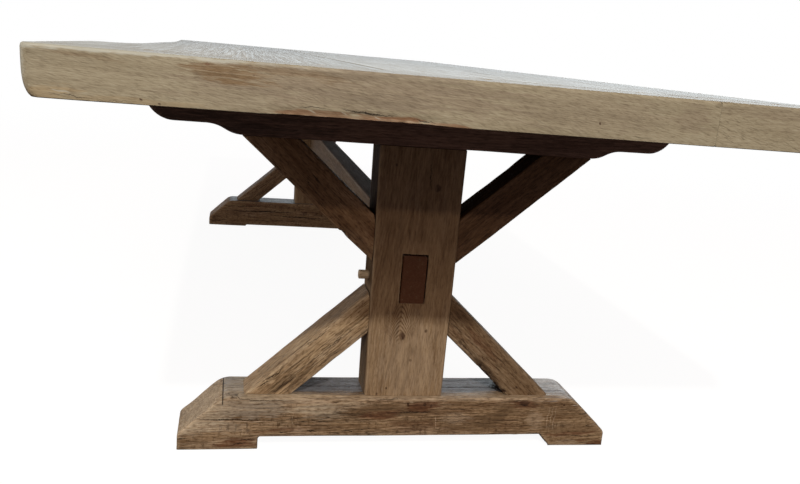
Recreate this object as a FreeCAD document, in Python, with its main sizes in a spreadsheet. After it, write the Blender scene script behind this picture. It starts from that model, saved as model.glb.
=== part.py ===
"""Trestle dining table in reclaimed oak, as a parametric FreeCAD document.

Frame: X across the table, Y along it, Z up from the floor, in millimetres. The origin is on
the floor under the middle of the top, and the near end of the table is at -Y.

A plank top with boards across its ends lies on two trestles. Each trestle is a foot, a post,
a bearer and four braces, joined by glued mortises and tenons. A stretcher joins the trestles:
its tenons pass through both posts and are held by round draw pegs, which can be knocked out.
"""
import FreeCAD
import Part
import math
import os
import re
import Sketcher

Vector = FreeCAD.Vector

# Driving dimensions: alias, value, what it is.
SIZES = [
    ("table_height", "765", "floor to the upper face of the top"),
    ("top_length", "3100", "top, along Y"),
    ("top_width", "1210", "top, along X"),
    ("top_thickness", "63", "planks and end boards"),
    ("plank_jog", "24", "how far each joint between planks stands off an even division"),
    ("end_board_width", "150", "end board, along Y"),
    ("end_board_seam", "300", "butt joint of the near end board, from the middle of the table"),
    ("top_corner_radius", "14", "corners of the top, seen from above"),
    ("top_upper_arris", "4", "rounding of the top's upper edge"),
    ("top_lower_arris", "2", "rounding of the top's lower edge"),
    ("seam_chamfer", "0.6", "worn arris along the joints in the upper face"),
    ("tongue_length", "42", "tongue on the planks' ends"),
    ("tongue_thickness", "21", "tongue on the planks' ends"),
    ("tongue_setback", "28", "end of the tongues, in from the table's long edges"),
    ("spline_width", "40", "loose spline, across the joint"),
    ("spline_thickness", "12", "loose spline, up and down"),
    ("spline_setback", "30", "end of a spline, in from the planks' shoulders"),
    ("board_peg_diameter", "14", "pegs through the end boards"),
    ("end_overhang", "529", "end of the top to the middle plane of the trestle under it"),
    ("foot_left", "440", "foot, from its middle to its left end"),
    ("foot_right", "457", "foot, from its middle to its right end"),
    ("foot_height", "111", "foot, floor to its upper face"),
    ("foot_depth", "113", "foot, along Y"),
    ("near_foot_relief", "26", "gap between the floor and the middle of the near foot"),
    ("far_foot_relief", "6", "gap between the floor and the middle of the far foot"),
    ("foot_left_pad", "157", "length of the left pad on the floor"),
    ("foot_right_pad", "124", "length of the right pad on the floor"),
    ("foot_right_pad_slope", "0.9", "run of the slope that ends the right pad, over its rise"),
    ("foot_nose", "34", "upright part of the foot's ends"),
    ("foot_slope_run", "82", "run of the slope on the foot's ends"),
    ("foot_shoulder_radius", "44", "rounding at the top of that slope"),
    ("foot_nose_radius", "13", "rounding at the bottom of that slope"),
    ("post_left_base", "75", "post's left side from its middle, at the foot"),
    ("post_left_head", "84", "post's left side from its middle, at the bearer"),
    ("post_right_base", "88", "post's right side from its middle, at the foot"),
    ("post_right_head", "87.5", "post's right side from its middle, at the bearer"),
    ("post_depth", "88", "post, along Y"),
    ("post_tenon_width", "100", "tenons on the post's ends, along X"),
    ("post_tenon_thickness", "36", "tenons on the post's ends, along Y"),
    ("post_tenon_length", "52", "tenons on the post's ends, along Z"),
    ("bearer_half_length", "514", "bearer, from its middle to either end"),
    ("bearer_height", "82", "bearer, up and down in its middle"),
    ("bearer_depth", "100", "bearer, along Y"),
    ("bearer_full_height_reach", "340", "where the bearer starts to thin, from its middle"),
    ("bearer_ogee_run", "65", "run of the reverse curve"),
    ("bearer_ogee_rise", "18", "rise of the reverse curve"),
    ("bearer_end_radius", "52", "quarter round under the bearer's ends"),
    ("lower_left_reach", "0.619", "outer edge of the lower left brace on the foot, from the "
     "middle, over the post's height"),
    ("lower_left_reach_far", "0.644", "the same on the far foot"),
    ("lower_right_reach", "0.635", "the same for the lower right brace"),
    ("lower_brace_angle", "42.5", "lower brace from the floor, degrees"),
    ("lower_brace_width", "65", "lower brace, square to its length"),
    ("upper_left_reach", "0.672", "outer edge of the upper left brace on the bearer, from the "
     "middle, over the post's height"),
    ("upper_right_reach", "0.686", "the same for the upper right brace"),
    ("upper_brace_angle", "41.5", "upper brace from the bearer, degrees"),
    ("upper_brace_width", "71", "upper brace, square to its length"),
    ("brace_depth", "78", "braces, along Y"),
    ("brace_stub_length", "20", "stub tenons on the braces' ends"),
    ("brace_stub_thickness", "28", "stub tenons on the braces' ends, along Y"),
    ("brace_haunch", "12", "stub tenon, in from the brace's edges"),
    ("stretcher_middle", "4.5", "stretcher's middle, right of the table's middle"),
    ("stretcher_thickness", "55", "stretcher, along X"),
    ("stretcher_above_peg", "86", "middle of the draw peg to the stretcher's upper edge"),
    ("stretcher_below_peg", "55", "middle of the draw peg to the stretcher's lower edge"),
    ("tenon_thickness", "49", "stretcher's tenon, along X"),
    ("tenon_above_peg", "52.5", "middle of the draw peg to the tenon's upper edge"),
    ("tenon_below_peg", "45", "middle of the draw peg to the tenon's lower edge"),
    ("mortise_side_gap", "1.2", "gap on each side of the stretcher's tenon"),
    ("mortise_top_gap", "3", "gap over the stretcher's tenon"),
    ("draw_peg_diameter", "18.5", "draw peg"),
    ("draw_peg_level", "0.4774", "foot to the middle of the draw peg, over the post's height"),
    ("draw_peg_rounding", "1.5", "worn edges of the draw peg's ends"),
    ("draw_peg_head", "20", "how far the draw peg stands out of the post"),
    ("draw_peg_inset", "2", "how far its other end stays inside the post"),
    ("draw_peg_clearance", "0.3", "gap round the draw peg"),
    ("joint_clearance", "0.5", "gap round a tenon, tongue or spline in its mortise or groove"),
    ("arris", "3", "worn edges of the trestles' timbers"),
    ("screw_diameter", "10", "coach screw's shank"),
    ("screw_length", "100", "coach screw, under its head"),
    ("screw_head_width", "17", "coach screw's head, across its flats"),
    ("screw_head_height", "7", "coach screw's head"),
    ("screw_hole_diameter", "13", "hole through the bearer, wide enough for the top to move"),
    ("screw_pilot_clearance", "0.1", "gap round the screw in the planks"),
    ("screw_pilot_run_out", "1", "depth of the hole in the planks past the screw's tip"),
    ("screw_tip_length", "10", "cone on the screw's end"),
    ("screw_tip_diameter", "2", "cone on the screw's end, at its tip"),
    ("screw_from_seam", "40", "coach screw from the nearest joint between planks"),
    ("washer_diameter", "25", "washer"),
    ("washer_thickness", "2", "washer"),
    ("counterbore_diameter", "30", "recess for a screw's head in the bearer's underside"),
    ("counterbore_depth", "25", "recess for a screw's head in the bearer's underside"),
]

PLANK_COUNT = 5
# How far the outline of a cut runs past each face that the cut opens, in millimetres.
PAST = "1"
# Lengths and places that differ by less than this are the same, in millimetres.
TOLERANCE = 0.01

doc = FreeCAD.newDocument("TrestleTable")
sheet = doc.addObject("Spreadsheet::Sheet", "Sizes")
for row, (alias, size, meaning) in enumerate(SIZES, start=1):
    sheet.set(f"A{row}", alias)
    sheet.set(f"B{row}", size)
    sheet.set(f"C{row}", meaning)
    sheet.setAlias(f"B{row}", alias)
doc.recompute()

NAMES = [alias for alias, size, meaning in SIZES]
ALIASES = re.compile(r"\b(" + "|".join(NAMES) + r")\b")

# Places that several pieces share, as expressions on the sheet.
TOP_UNDERSIDE = "(table_height - top_thickness)"
BEARER_UNDERSIDE = f"({TOP_UNDERSIDE} - bearer_height)"
POST_HEIGHT = f"({BEARER_UNDERSIDE} - foot_height)"
PEG_HEIGHT = f"(foot_height + draw_peg_level * {POST_HEIGHT})"
STRETCHER_TOP = f"({PEG_HEIGHT} + stretcher_above_peg)"
STRETCHER_BOTTOM = f"({PEG_HEIGHT} - stretcher_below_peg)"
TENON_TOP = f"({PEG_HEIGHT} + tenon_above_peg)"
TENON_BOTTOM = f"({PEG_HEIGHT} - tenon_below_peg)"
TRESTLE_SPACING = "(top_length - 2 * end_overhang)"
SHOULDER_LENGTH = "(top_length - 2 * end_board_width)"
TONGUE_MIDDLE = f"({SHOULDER_LENGTH} / 2 + tongue_length / 2)"
SCREW_SEAT = f"({BEARER_UNDERSIDE} + counterbore_depth)"
SCREW_TIP = f"({SCREW_SEAT} - washer_thickness + screw_length)"

# The ends of the table: the name of each, and which way it lies along Y.
ENDS = {"near": -1, "far": 1}
# The sides of the table: the name of each, and which way it lies along X.
SIDES = {"left": -1, "right": 1}


# ---------------------------------------------------------------- working with the document

def on_sheet(expression):
    """The expression with every alias written as a cell of the sheet."""
    return ALIASES.sub(r"Sizes.\1", str(expression))


def value(expression):
    """The present value of an expression, in millimetres or degrees."""
    return float(sheet.evalExpression(on_sheet(expression)))


def bind(item, name, expression):
    """Tie one property of a document object to the sheet."""
    item.setExpression(name, on_sheet(expression))


def place(item, x="0", y="0", z="0"):
    """Tie the place of a document object to the sheet."""
    for axis, expression in zip("xyz", (x, y, z)):
        bind(item, f"Placement.Base.{axis}", expression)


def new_body(label, x="0", y="0", z="0"):
    body = doc.addObject("PartDesign::Body", label)
    body.Label = label
    place(body, x, y, z)
    return body


def new_sketch(body, plane, name):
    """A sketch on one of the body's own origin planes."""
    sketch = body.newObject("Sketcher::SketchObject", name)
    support = [item for item in body.Origin.OriginFeatures if item.Role == plane][0]
    sketch.AttachmentSupport = [(support, "")]
    sketch.MapMode = "FlatFace"
    return sketch


def fix_point(sketch, edge, end, x, y):
    """Hold one end of an edge at a place given by two expressions."""
    for kind, expression in (("DistanceX", x), ("DistanceY", y)):
        constraint = Sketcher.Constraint(kind, -1, 1, edge, end, value(expression))
        number = sketch.addConstraint(constraint)
        sketch.setExpression(f"Constraints[{number}]", on_sheet(expression))


def add_outline(sketch, corners):
    """A closed outline. A corner is (x, y), or (x, y, radius, side) where an arc leads to it.

    side is 1 where the arc turns left on its way to the corner, and -1 where it turns right.
    """
    first = sketch.GeometryCount
    points = [Vector(value(corner[0]), value(corner[1]), 0) for corner in corners]
    starts = []
    for number, corner in enumerate(corners):
        start = points[number - 1]
        end = points[number]
        if len(corner) == 2:
            sketch.addGeometry(Part.LineSegment(start, end), False)
            starts.append((1, 2))
            continue
        radius = value(corner[2])
        chord = end - start
        across = Vector(-chord.y, chord.x, 0).normalize() * corner[3]
        offset = math.sqrt(max(radius ** 2 - chord.Length ** 2 / 4, 0))
        middle = (start + end) / 2 + across * (offset - radius)
        sketch.addGeometry(Part.Arc(start, middle, end), False)
        # An arc of a sketch always runs anticlockwise, so a right turn starts at its far end.
        starts.append((1, 2) if corner[3] > 0 else (2, 1))
    for number, corner in enumerate(corners):
        edge = first + number
        following = (number + 1) % len(corners)
        joint = (edge, starts[number][1], first + following, starts[following][0])
        sketch.addConstraint(Sketcher.Constraint("Coincident", *joint))
        fix_point(sketch, edge, starts[number][1], corner[0], corner[1])
        if len(corner) > 2:
            hold = sketch.addConstraint(Sketcher.Constraint("Radius", edge, value(corner[2])))
            sketch.setExpression(f"Constraints[{hold}]", on_sheet(corner[2]))


def add_rectangle(sketch, left, right, low, high):
    add_outline(sketch, [(left, low), (right, low), (right, high), (left, high)])


def add_circle(sketch, x, y, diameter):
    circle = Part.Circle(Vector(value(x), value(y), 0), Vector(0, 0, 1), value(diameter) / 2)
    edge = sketch.addGeometry(circle, False)
    fix_point(sketch, edge, 3, x, y)
    constraint = Sketcher.Constraint("Diameter", edge, value(diameter))
    number = sketch.addConstraint(constraint)
    sketch.setExpression(f"Constraints[{number}]", on_sheet(diameter))


def pad(body, sketch, name, length):
    """A pad that grows by half its length to each side of the sketch."""
    feature = body.newObject("PartDesign::Pad", name)
    feature.Profile = sketch
    feature.SideType = "Symmetric"
    bind(feature, "Length", length)
    return recomputed(feature)


def pocket(body, sketch, name, length):
    """A pocket that cuts by half its length to each side of the sketch."""
    before = body.Shape.Volume
    feature = body.newObject("PartDesign::Pocket", name)
    feature.Profile = sketch
    feature.SideType = "Symmetric"
    bind(feature, "Length", length)
    recomputed(feature)
    if body.Shape.Volume > before - 1:
        raise RuntimeError(f"{body.Label}: {name} cuts nothing")
    return feature


def recomputed(feature):
    doc.recompute()
    if not feature.isValid():
        raise RuntimeError(f"{feature.Name} failed: {feature.State}")
    return feature


def ease_edges(body, kind, name, size, wanted):
    """A PartDesign Fillet or Chamfer on the edges of the body that wanted(edge) picks."""
    base = body.Tip
    edges = base.Shape.Edges
    names = [f"Edge{number}" for number, edge in enumerate(edges, start=1) if wanted(edge)]
    if not names:
        raise RuntimeError(f"{body.Label}: no edge for {name}")
    feature = body.newObject(f"PartDesign::{kind}", name)
    feature.Base = (base, names)
    bind(feature, "Radius" if kind == "Fillet" else "Size", size)
    return recomputed(feature)


def near(first, second):
    return abs(first - second) < TOLERANCE


def runs_along(edge, axis):
    """Whether an edge is straight and parallel to an axis, given as 0, 1 or 2."""
    direction = edge.lastVertex().Point - edge.firstVertex().Point
    return near(abs(direction[axis]), edge.Length) and edge.Length > TOLERANCE


def middle_of(edge):
    return edge.valueAt((edge.FirstParameter + edge.LastParameter) / 2)


def in_outline_face(depth):
    """A test for edges that lie in the front or back face of a timber of that depth."""
    half = value(depth) / 2

    def wanted(edge):
        ends = [vertex.Point.y for vertex in edge.Vertexes]
        return all(near(abs(end), half) for end in ends + [middle_of(edge).y])

    return wanted


# ---------------------------------------------------------------- the top

def seam(number):
    """X of a joint between planks; 0 and PLANK_COUNT are the long edges of the top."""
    if number in (0, PLANK_COUNT):
        return f"({number} - {PLANK_COUNT} / 2) * top_width / {PLANK_COUNT}"
    return (f"(({number} - {PLANK_COUNT} / 2) * top_width / {PLANK_COUNT}"
            f" - {(-1) ** number} * plank_jog)")


def plank_middle(number):
    return f"(({seam(number - 1)} + {seam(number)}) / 2)"


def screw_places():
    """X of the coach screws of one trestle: beside the joints, clear of post and braces."""
    outer_seam = seam(PLANK_COUNT - 1)
    inner_seam = seam(PLANK_COUNT - 2)
    right_half = [f"({inner_seam} - screw_from_seam)",
                  f"({inner_seam} + screw_from_seam)",
                  f"({outer_seam} + screw_from_seam)"]
    return [f"-{place_x}" for place_x in right_half] + right_half


def trestle_y(end):
    return f"{ENDS[end]} * {TRESTLE_SPACING} / 2"


def make_plank(number):
    """One lengthwise plank: a tongue on each end, and a groove for each spline."""
    middle_height = "table_height - top_thickness / 2"
    body = new_body(f"top_plank_{number}", z=middle_height)
    left, right = seam(number - 1), seam(number)
    half = f"{SHOULDER_LENGTH} / 2"

    board = new_sketch(body, "XY_Plane", "BoardOutline")
    add_rectangle(board, left, right, f"-{half}", half)
    pad(body, board, "Board", "top_thickness")

    ease_plank_arrises(body, number)

    tongue = new_sketch(body, "XY_Plane", "TongueOutline")
    tongue_left = f"{left} + tongue_setback" if number == 1 else left
    tongue_right = f"{right} - tongue_setback" if number == PLANK_COUNT else right
    reach = f"({half} + tongue_length)"
    add_rectangle(tongue, tongue_left, tongue_right, f"-{reach}", reach)
    pad(body, tongue, "Tongues", "tongue_thickness")

    groove = new_sketch(body, "XY_Plane", "GrooveOutline")
    groove_depth = "(spline_width / 2 + joint_clearance)"
    past_end = f"({reach} + {PAST})"
    if number > 1:
        add_rectangle(groove, f"{left} - {PAST}", f"{left} + {groove_depth}",
                      f"-{past_end}", past_end)
    if number < PLANK_COUNT:
        add_rectangle(groove, f"{right} - {groove_depth}", f"{right} + {PAST}",
                      f"-{past_end}", past_end)
    pocket(body, groove, "SplineGrooves", "spline_thickness + 2 * joint_clearance")

    pegs = new_sketch(body, "XY_Plane", "PegCentres")
    for sign in ("", "-"):
        add_circle(pegs, plank_middle(number), sign + TONGUE_MIDDLE, "board_peg_diameter")
    pocket(body, pegs, "PegHoles", "top_thickness")

    pilots = new_sketch(body, "XY_Plane", "PilotCentres")
    low, high = value(left), value(right)
    for place_x in screw_places():
        if low < value(place_x) < high:
            for end in ENDS:
                add_circle(pilots, place_x, trestle_y(end),
                           "screw_diameter + 2 * screw_pilot_clearance")
    bite = f"({SCREW_TIP} - {TOP_UNDERSIDE})"
    # The pocket is centred on the plank's middle height, so its sketch is moved down until the
    # pocket ends just above the screws' tips.
    bind(pilots, "AttachmentOffset.Base.z", "-top_thickness / 2")
    pocket(body, pilots, "PilotHoles", f"2 * ({bite} + screw_pilot_run_out)")
    return body


def ease_plank_arrises(body, number):
    """Worn arrises: rounded on the table's long edges, a fine chamfer along each joint."""
    outer_sides = {1: value(seam(0)), PLANK_COUNT: value(seam(PLANK_COUNT))}
    half = value("top_thickness") / 2

    def on_table_edge(edge):
        return number in outer_sides and near(middle_of(edge).x, outer_sides[number])

    def upper_seam(edge):
        return runs_along(edge, 1) and near(middle_of(edge).z, half) and not on_table_edge(edge)

    def outer_edge(level):
        return lambda edge: (runs_along(edge, 1) and on_table_edge(edge)
                             and near(middle_of(edge).z, level))

    ease_edges(body, "Chamfer", "SeamChamfer", "seam_chamfer", upper_seam)
    if number in outer_sides:
        ease_edges(body, "Fillet", "UpperArris", "top_upper_arris", outer_edge(half))
        ease_edges(body, "Fillet", "LowerArris", "top_lower_arris", outer_edge(-half))


def make_end_board(label, end, left, right):
    """A board across the planks' ends, grooved for their tongues."""
    sign = ENDS[end]
    inner = f"{SHOULDER_LENGTH} / 2"
    body = new_body(label, z="table_height - top_thickness / 2")

    board = new_sketch(body, "XY_Plane", "BoardOutline")
    add_rectangle(board, left, right, f"{sign} * {inner}", f"{sign} * top_length / 2")
    pad(body, board, "Board", "top_thickness")
    ease_end_board_arrises(body, sign)

    groove = new_sketch(body, "XY_Plane", "GrooveOutline")
    stopped = "(top_width / 2 - tongue_setback + joint_clearance)"
    groove_left = f"-{stopped}" if left == seam(0) else f"{left} - {PAST}"
    groove_right = stopped if right == seam(PLANK_COUNT) else f"{right} + {PAST}"
    add_rectangle(groove, groove_left, groove_right, f"{sign} * ({inner} - {PAST})",
                  f"{sign} * ({inner} + tongue_length + joint_clearance)")
    pocket(body, groove, "TongueGroove", "tongue_thickness + 2 * joint_clearance")

    pegs = new_sketch(body, "XY_Plane", "PegCentres")
    for number in range(1, PLANK_COUNT + 1):
        if value(left) < value(plank_middle(number)) < value(right):
            add_circle(pegs, plank_middle(number), f"{sign} * {TONGUE_MIDDLE}",
                       "board_peg_diameter")
    pocket(body, pegs, "PegHoles", f"top_thickness + 2 * {PAST}")
    return body


def ease_end_board_arrises(body, sign):
    """Rounded corners and outer edges, and a fine chamfer along the joints in the upper face."""
    half_width = value("top_width") / 2
    outer_end = sign * value("top_length") / 2
    inner_end = sign * value(SHOULDER_LENGTH) / 2
    half = value("top_thickness") / 2

    def corner(edge):
        point = middle_of(edge)
        return (runs_along(edge, 2) and near(point.y, outer_end)
                and near(abs(point.x), half_width))

    def inside(point):
        """Whether a point lies on the joint with the planks, or on the butt joint."""
        return near(point.y, inner_end) or near(point.x, value("end_board_seam"))

    def outer_edge(level):
        def wanted(edge):
            point = middle_of(edge)
            level_edge = near(point.z, level) and not runs_along(edge, 2)
            return level_edge and not inside(point)
        return wanted

    def seam_edge(edge):
        point = middle_of(edge)
        return near(point.z, half) and not runs_along(edge, 2) and inside(point)

    ease_edges(body, "Fillet", "Corners", "top_corner_radius", corner)
    ease_edges(body, "Fillet", "LowerArris", "top_lower_arris", outer_edge(-half))
    ease_edges(body, "Fillet", "UpperArris", "top_upper_arris", outer_edge(half))
    ease_edges(body, "Chamfer", "SeamChamfer", "seam_chamfer", seam_edge)


def make_group(label, members):
    """Like pieces that share a node, as separate solids."""
    group = doc.addObject("Part::Compound", label)
    group.Label = label
    group.Links = members
    return group


def make_splines():
    splines = []
    for number in range(1, PLANK_COUNT):
        spline = doc.addObject("Part::Box", f"Spline{number}")
        bind(spline, "Length", "spline_width")
        bind(spline, "Width", f"{SHOULDER_LENGTH} - 2 * spline_setback")
        bind(spline, "Height", "spline_thickness")
        place(spline, f"{seam(number)} - spline_width / 2",
              f"spline_setback - {SHOULDER_LENGTH} / 2",
              "table_height - top_thickness / 2 - spline_thickness / 2 - joint_clearance")
        splines.append(spline)
    return make_group("plank_splines", splines)


def make_board_pegs():
    pegs = []
    for end, sign in ENDS.items():
        for number in range(1, PLANK_COUNT + 1):
            peg = doc.addObject("Part::Cylinder", f"BoardPeg_{end}_{number}")
            bind(peg, "Radius", "board_peg_diameter / 2")
            bind(peg, "Height", "top_thickness")
            place(peg, plank_middle(number), f"{sign} * {TONGUE_MIDDLE}", TOP_UNDERSIDE)
            pegs.append(peg)
    return make_group("end_board_pegs", pegs)


# ---------------------------------------------------------------- the trestles

def side_of_post(side, way, angle, reach):
    """Where the edge of a brace meets the post: (distance from the middle, height).

    The edge leaves the foot (way 1) or the bearer (way -1) at the distance reach from the
    middle and climbs, or falls, at the angle. The post's side leans from base to head.
    """
    start = f"post_{side}_base" if way > 0 else f"post_{side}_head"
    lean = f"((post_{side}_head - post_{side}_base) / {POST_HEIGHT})"
    slant = f"({way} * {lean} * tan({angle}))"
    across = f"(({start} + {slant} * {reach}) / (1 + {slant}))"
    return across, f"({way} * ({reach} - {across}) * tan({angle}))"


class Brace:
    """The shape of one diagonal brace, from its side of the post and the way that it rises."""

    def __init__(self, level, side, end):
        self.label = f"brace_{level}_{side}_{end}"
        self.sign = SIDES[side]
        self.way = 1 if level == "lower" else -1
        self.angle = f"{level}_brace_angle"
        own_reach = f"{level}_{side}_reach_{end}"
        reach = own_reach if own_reach in NAMES else f"{level}_{side}_reach"
        self.outer = f"({reach} * {POST_HEIGHT})"
        self.inner = f"({self.outer} - {level}_brace_width / sin({self.angle}))"
        self.base_height = "foot_height" if level == "lower" else BEARER_UNDERSIDE
        self.outer_end = side_of_post(side, self.way, self.angle, self.outer)
        self.inner_end = side_of_post(side, self.way, self.angle, self.inner)

    def at(self, across, height):
        """A corner of a sketch on this side of the post."""
        return f"{self.sign} * {across}", height

    def stub_in_beam(self, gap):
        """Corners of the stub tenon in the foot or the bearer, grown by a gap."""
        left = f"({self.inner} + brace_haunch - {gap})"
        right = f"({self.outer} - brace_haunch + {gap})"
        tip = f"(-{self.way} * (brace_stub_length + {gap}))"
        root = f"({self.way} * brace_haunch / 3)"
        return [self.at(left, tip), self.at(right, tip), self.at(right, root), self.at(left, root)]

    def stub_in_post(self, gap):
        """Corners of the stub tenon in the post, grown by a gap."""
        low = f"({self.inner_end[1]} + {self.way} * (brace_haunch - {gap}))"
        high = f"({self.outer_end[1]} - {self.way} * (brace_haunch - {gap}))"
        tip = f"({self.inner_end[0]} - brace_stub_length - {gap})"
        root = f"({self.outer_end[0]} + brace_haunch / 3)"
        return [self.at(tip, low), self.at(root, low), self.at(root, high), self.at(tip, high)]


BRACES = {end: [Brace(level, side, end) for level in ("lower", "upper") for side in SIDES]
          for end in ENDS}


def make_brace(brace, end):
    """A diagonal brace with a stub tenon on each end."""
    body = new_body(brace.label, y=trestle_y(end), z=brace.base_height)
    outline = new_sketch(body, "XZ_Plane", "BraceOutline")
    add_outline(outline, [brace.at(*brace.inner_end), brace.at(brace.inner, "0"),
                          brace.at(brace.outer, "0"), brace.at(*brace.outer_end)])
    pad(body, outline, "Brace", "brace_depth")

    in_face = in_outline_face("brace_depth")

    def slanted(edge):
        return in_face(edge) and not runs_along(edge, 0) and edge.Length > value(brace.outer) / 3

    ease_edges(body, "Chamfer", "WornArris", "arris", slanted)

    stubs = new_sketch(body, "XZ_Plane", "StubTenons")
    add_outline(stubs, brace.stub_in_beam("0"))
    add_outline(stubs, brace.stub_in_post("0"))
    pad(body, stubs, "Stubs", "brace_stub_thickness")
    return body


def cut_brace_mortises(body, corners_of):
    """Mortises for the stub tenons, from the braces' own corners."""
    sketch = new_sketch(body, "XZ_Plane", "BraceMortises")
    for corners in corners_of:
        add_outline(sketch, corners)
    pocket(body, sketch, "StubMortises", "brace_stub_thickness + 2 * joint_clearance")


def post_tenon_corners(low, high, gap):
    """The post's tenon as left, right, low and high, grown by a gap at its sides."""
    half = f"(post_tenon_width / 2 + {gap})"
    return f"-{half}", half, low, high


def make_foot(end):
    """The foot: sloped ends, two pads and a relieved middle, mortised for post and braces."""
    body = new_body(f"foot_{end}", y=trestle_y(end))
    outline = new_sketch(body, "XZ_Plane", "FootOutline")
    relief = f"{end}_foot_relief"
    add_outline(outline, [
        ("-foot_left", "0"),
        ("foot_left_pad - foot_left", "0"),
        ("foot_left_pad - foot_left", relief),
        (f"foot_right - foot_right_pad - foot_right_pad_slope * {relief}", relief),
        ("foot_right - foot_right_pad", "0"),
        ("foot_right", "0"),
        ("foot_right", "foot_nose"),
        ("foot_right - foot_slope_run", "foot_height"),
        ("foot_slope_run - foot_left", "foot_height"),
        ("-foot_left", "foot_nose"),
    ])
    pad(body, outline, "Foot", "foot_depth")

    def along_depth_at(height):
        return lambda edge: runs_along(edge, 1) and near(middle_of(edge).z, value(height))

    ease_edges(body, "Fillet", "Shoulders", "foot_shoulder_radius", along_depth_at("foot_height"))
    ease_edges(body, "Fillet", "Noses", "foot_nose_radius", along_depth_at("foot_nose"))
    ease_edges(body, "Chamfer", "WornArris", "arris", in_outline_face("foot_depth"))

    mortise = new_sketch(body, "XZ_Plane", "PostMortise")
    floor_of_mortise = "foot_height - post_tenon_length - joint_clearance"
    add_rectangle(mortise, *post_tenon_corners(floor_of_mortise, f"foot_height + {PAST}",
                                               "joint_clearance"))
    pocket(body, mortise, "Mortise", "post_tenon_thickness + 2 * joint_clearance")
    lower = [brace for brace in BRACES[end] if brace.way > 0]
    raised = []
    for brace in lower:
        corners = brace.stub_in_beam("joint_clearance")
        raised.append([(x, f"foot_height + {z}") for x, z in corners])
    cut_brace_mortises(body, raised)
    return body


def make_post(end):
    """The post: leaning sides, a tenon on each end, and the mortise right through it."""
    body = new_body(f"post_{end}", y=trestle_y(end), z="foot_height")
    outline = new_sketch(body, "XZ_Plane", "PostOutline")
    add_outline(outline, [
        ("-post_left_base", "0"),
        ("post_right_base", "0"),
        ("post_right_head", POST_HEIGHT),
        ("-post_left_head", POST_HEIGHT),
    ])
    pad(body, outline, "Post", "post_depth")
    in_face = in_outline_face("post_depth")

    def upright(edge):
        return in_face(edge) and not runs_along(edge, 0)

    ease_edges(body, "Chamfer", "WornArris", "arris", upright)

    tenons = new_sketch(body, "XZ_Plane", "TenonOutline")
    add_rectangle(tenons, *post_tenon_corners("-post_tenon_length",
                                              f"{POST_HEIGHT} + post_tenon_length", "0"))
    pad(body, tenons, "Tenons", "post_tenon_thickness")

    through = new_sketch(body, "XZ_Plane", "ThroughMortise")
    half = "(tenon_thickness / 2 + mortise_side_gap)"
    add_rectangle(through, f"stretcher_middle - {half}", f"stretcher_middle + {half}",
                  f"{TENON_BOTTOM} - foot_height",
                  f"{TENON_TOP} + mortise_top_gap - foot_height")
    pocket(body, through, "StretcherMortise", f"post_depth + 2 * {PAST}")

    corners = [brace.stub_in_post("joint_clearance") for brace in BRACES[end] if brace.way > 0]
    for brace in BRACES[end]:
        if brace.way < 0:
            hung = brace.stub_in_post("joint_clearance")
            corners.append([(x, f"{POST_HEIGHT} + {z}") for x, z in hung])
    cut_brace_mortises(body, corners)

    bore = new_sketch(body, "YZ_Plane", "PegCentre")
    add_circle(bore, "0", f"{PEG_HEIGHT} - foot_height",
               "draw_peg_diameter + 2 * draw_peg_clearance")
    pocket(body, bore, "PegBore", "2 * (post_left_head + post_right_head)")
    return body


def make_bearer(end):
    """The bearer under the top: reverse curves and quarter rounds thin its ends."""
    body = new_body(f"bearer_{end}", y=trestle_y(end), z=BEARER_UNDERSIDE)
    outline = new_sketch(body, "XZ_Plane", "BearerOutline")
    flat = "bearer_full_height_reach"
    run, rise = "bearer_ogee_run", "bearer_ogee_rise"
    curve = f"(({run} ^ 2 + {rise} ^ 2) / (4 * {rise}))"
    bend = f"({flat} + {run} / 2)"
    thin = f"({flat} + {run})"
    round_start = "(bearer_half_length - bearer_end_radius)"
    round_top = f"({rise} + bearer_end_radius)"
    add_outline(outline, [
        (flat, "0"),
        (bend, f"{rise} / 2", curve, 1),
        (thin, rise, curve, -1),
        (round_start, rise),
        ("bearer_half_length", round_top, "bearer_end_radius", 1),
        ("bearer_half_length", "bearer_height"),
        ("-bearer_half_length", "bearer_height"),
        ("-bearer_half_length", round_top),
        (f"-{round_start}", rise, "bearer_end_radius", 1),
        (f"-{thin}", rise),
        (f"-{bend}", f"{rise} / 2", curve, -1),
        (f"-{flat}", "0", curve, 1),
    ])
    pad(body, outline, "Bearer", "bearer_depth")
    in_face = in_outline_face("bearer_depth")
    top_edge = value("bearer_height")

    def under(edge):
        return in_face(edge) and not near(middle_of(edge).z, top_edge)

    ease_edges(body, "Chamfer", "WornArris", "arris", under)

    mortise = new_sketch(body, "XZ_Plane", "PostMortise")
    add_rectangle(mortise, *post_tenon_corners(f"-{PAST}", "post_tenon_length + joint_clearance",
                                               "joint_clearance"))
    pocket(body, mortise, "Mortise", "post_tenon_thickness + 2 * joint_clearance")
    upper = [brace.stub_in_beam("joint_clearance") for brace in BRACES[end] if brace.way < 0]
    cut_brace_mortises(body, upper)

    holes = new_sketch(body, "XY_Plane", "ScrewCentres")
    recesses = new_sketch(body, "XY_Plane", "RecessCentres")
    for place_x in screw_places():
        add_circle(holes, place_x, "0", "screw_hole_diameter")
        add_circle(recesses, place_x, "0", "counterbore_diameter")
    pocket(body, holes, "ScrewHoles", f"2 * (bearer_height + {PAST})")
    pocket(body, recesses, "Recesses", "2 * counterbore_depth")
    return body


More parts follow.
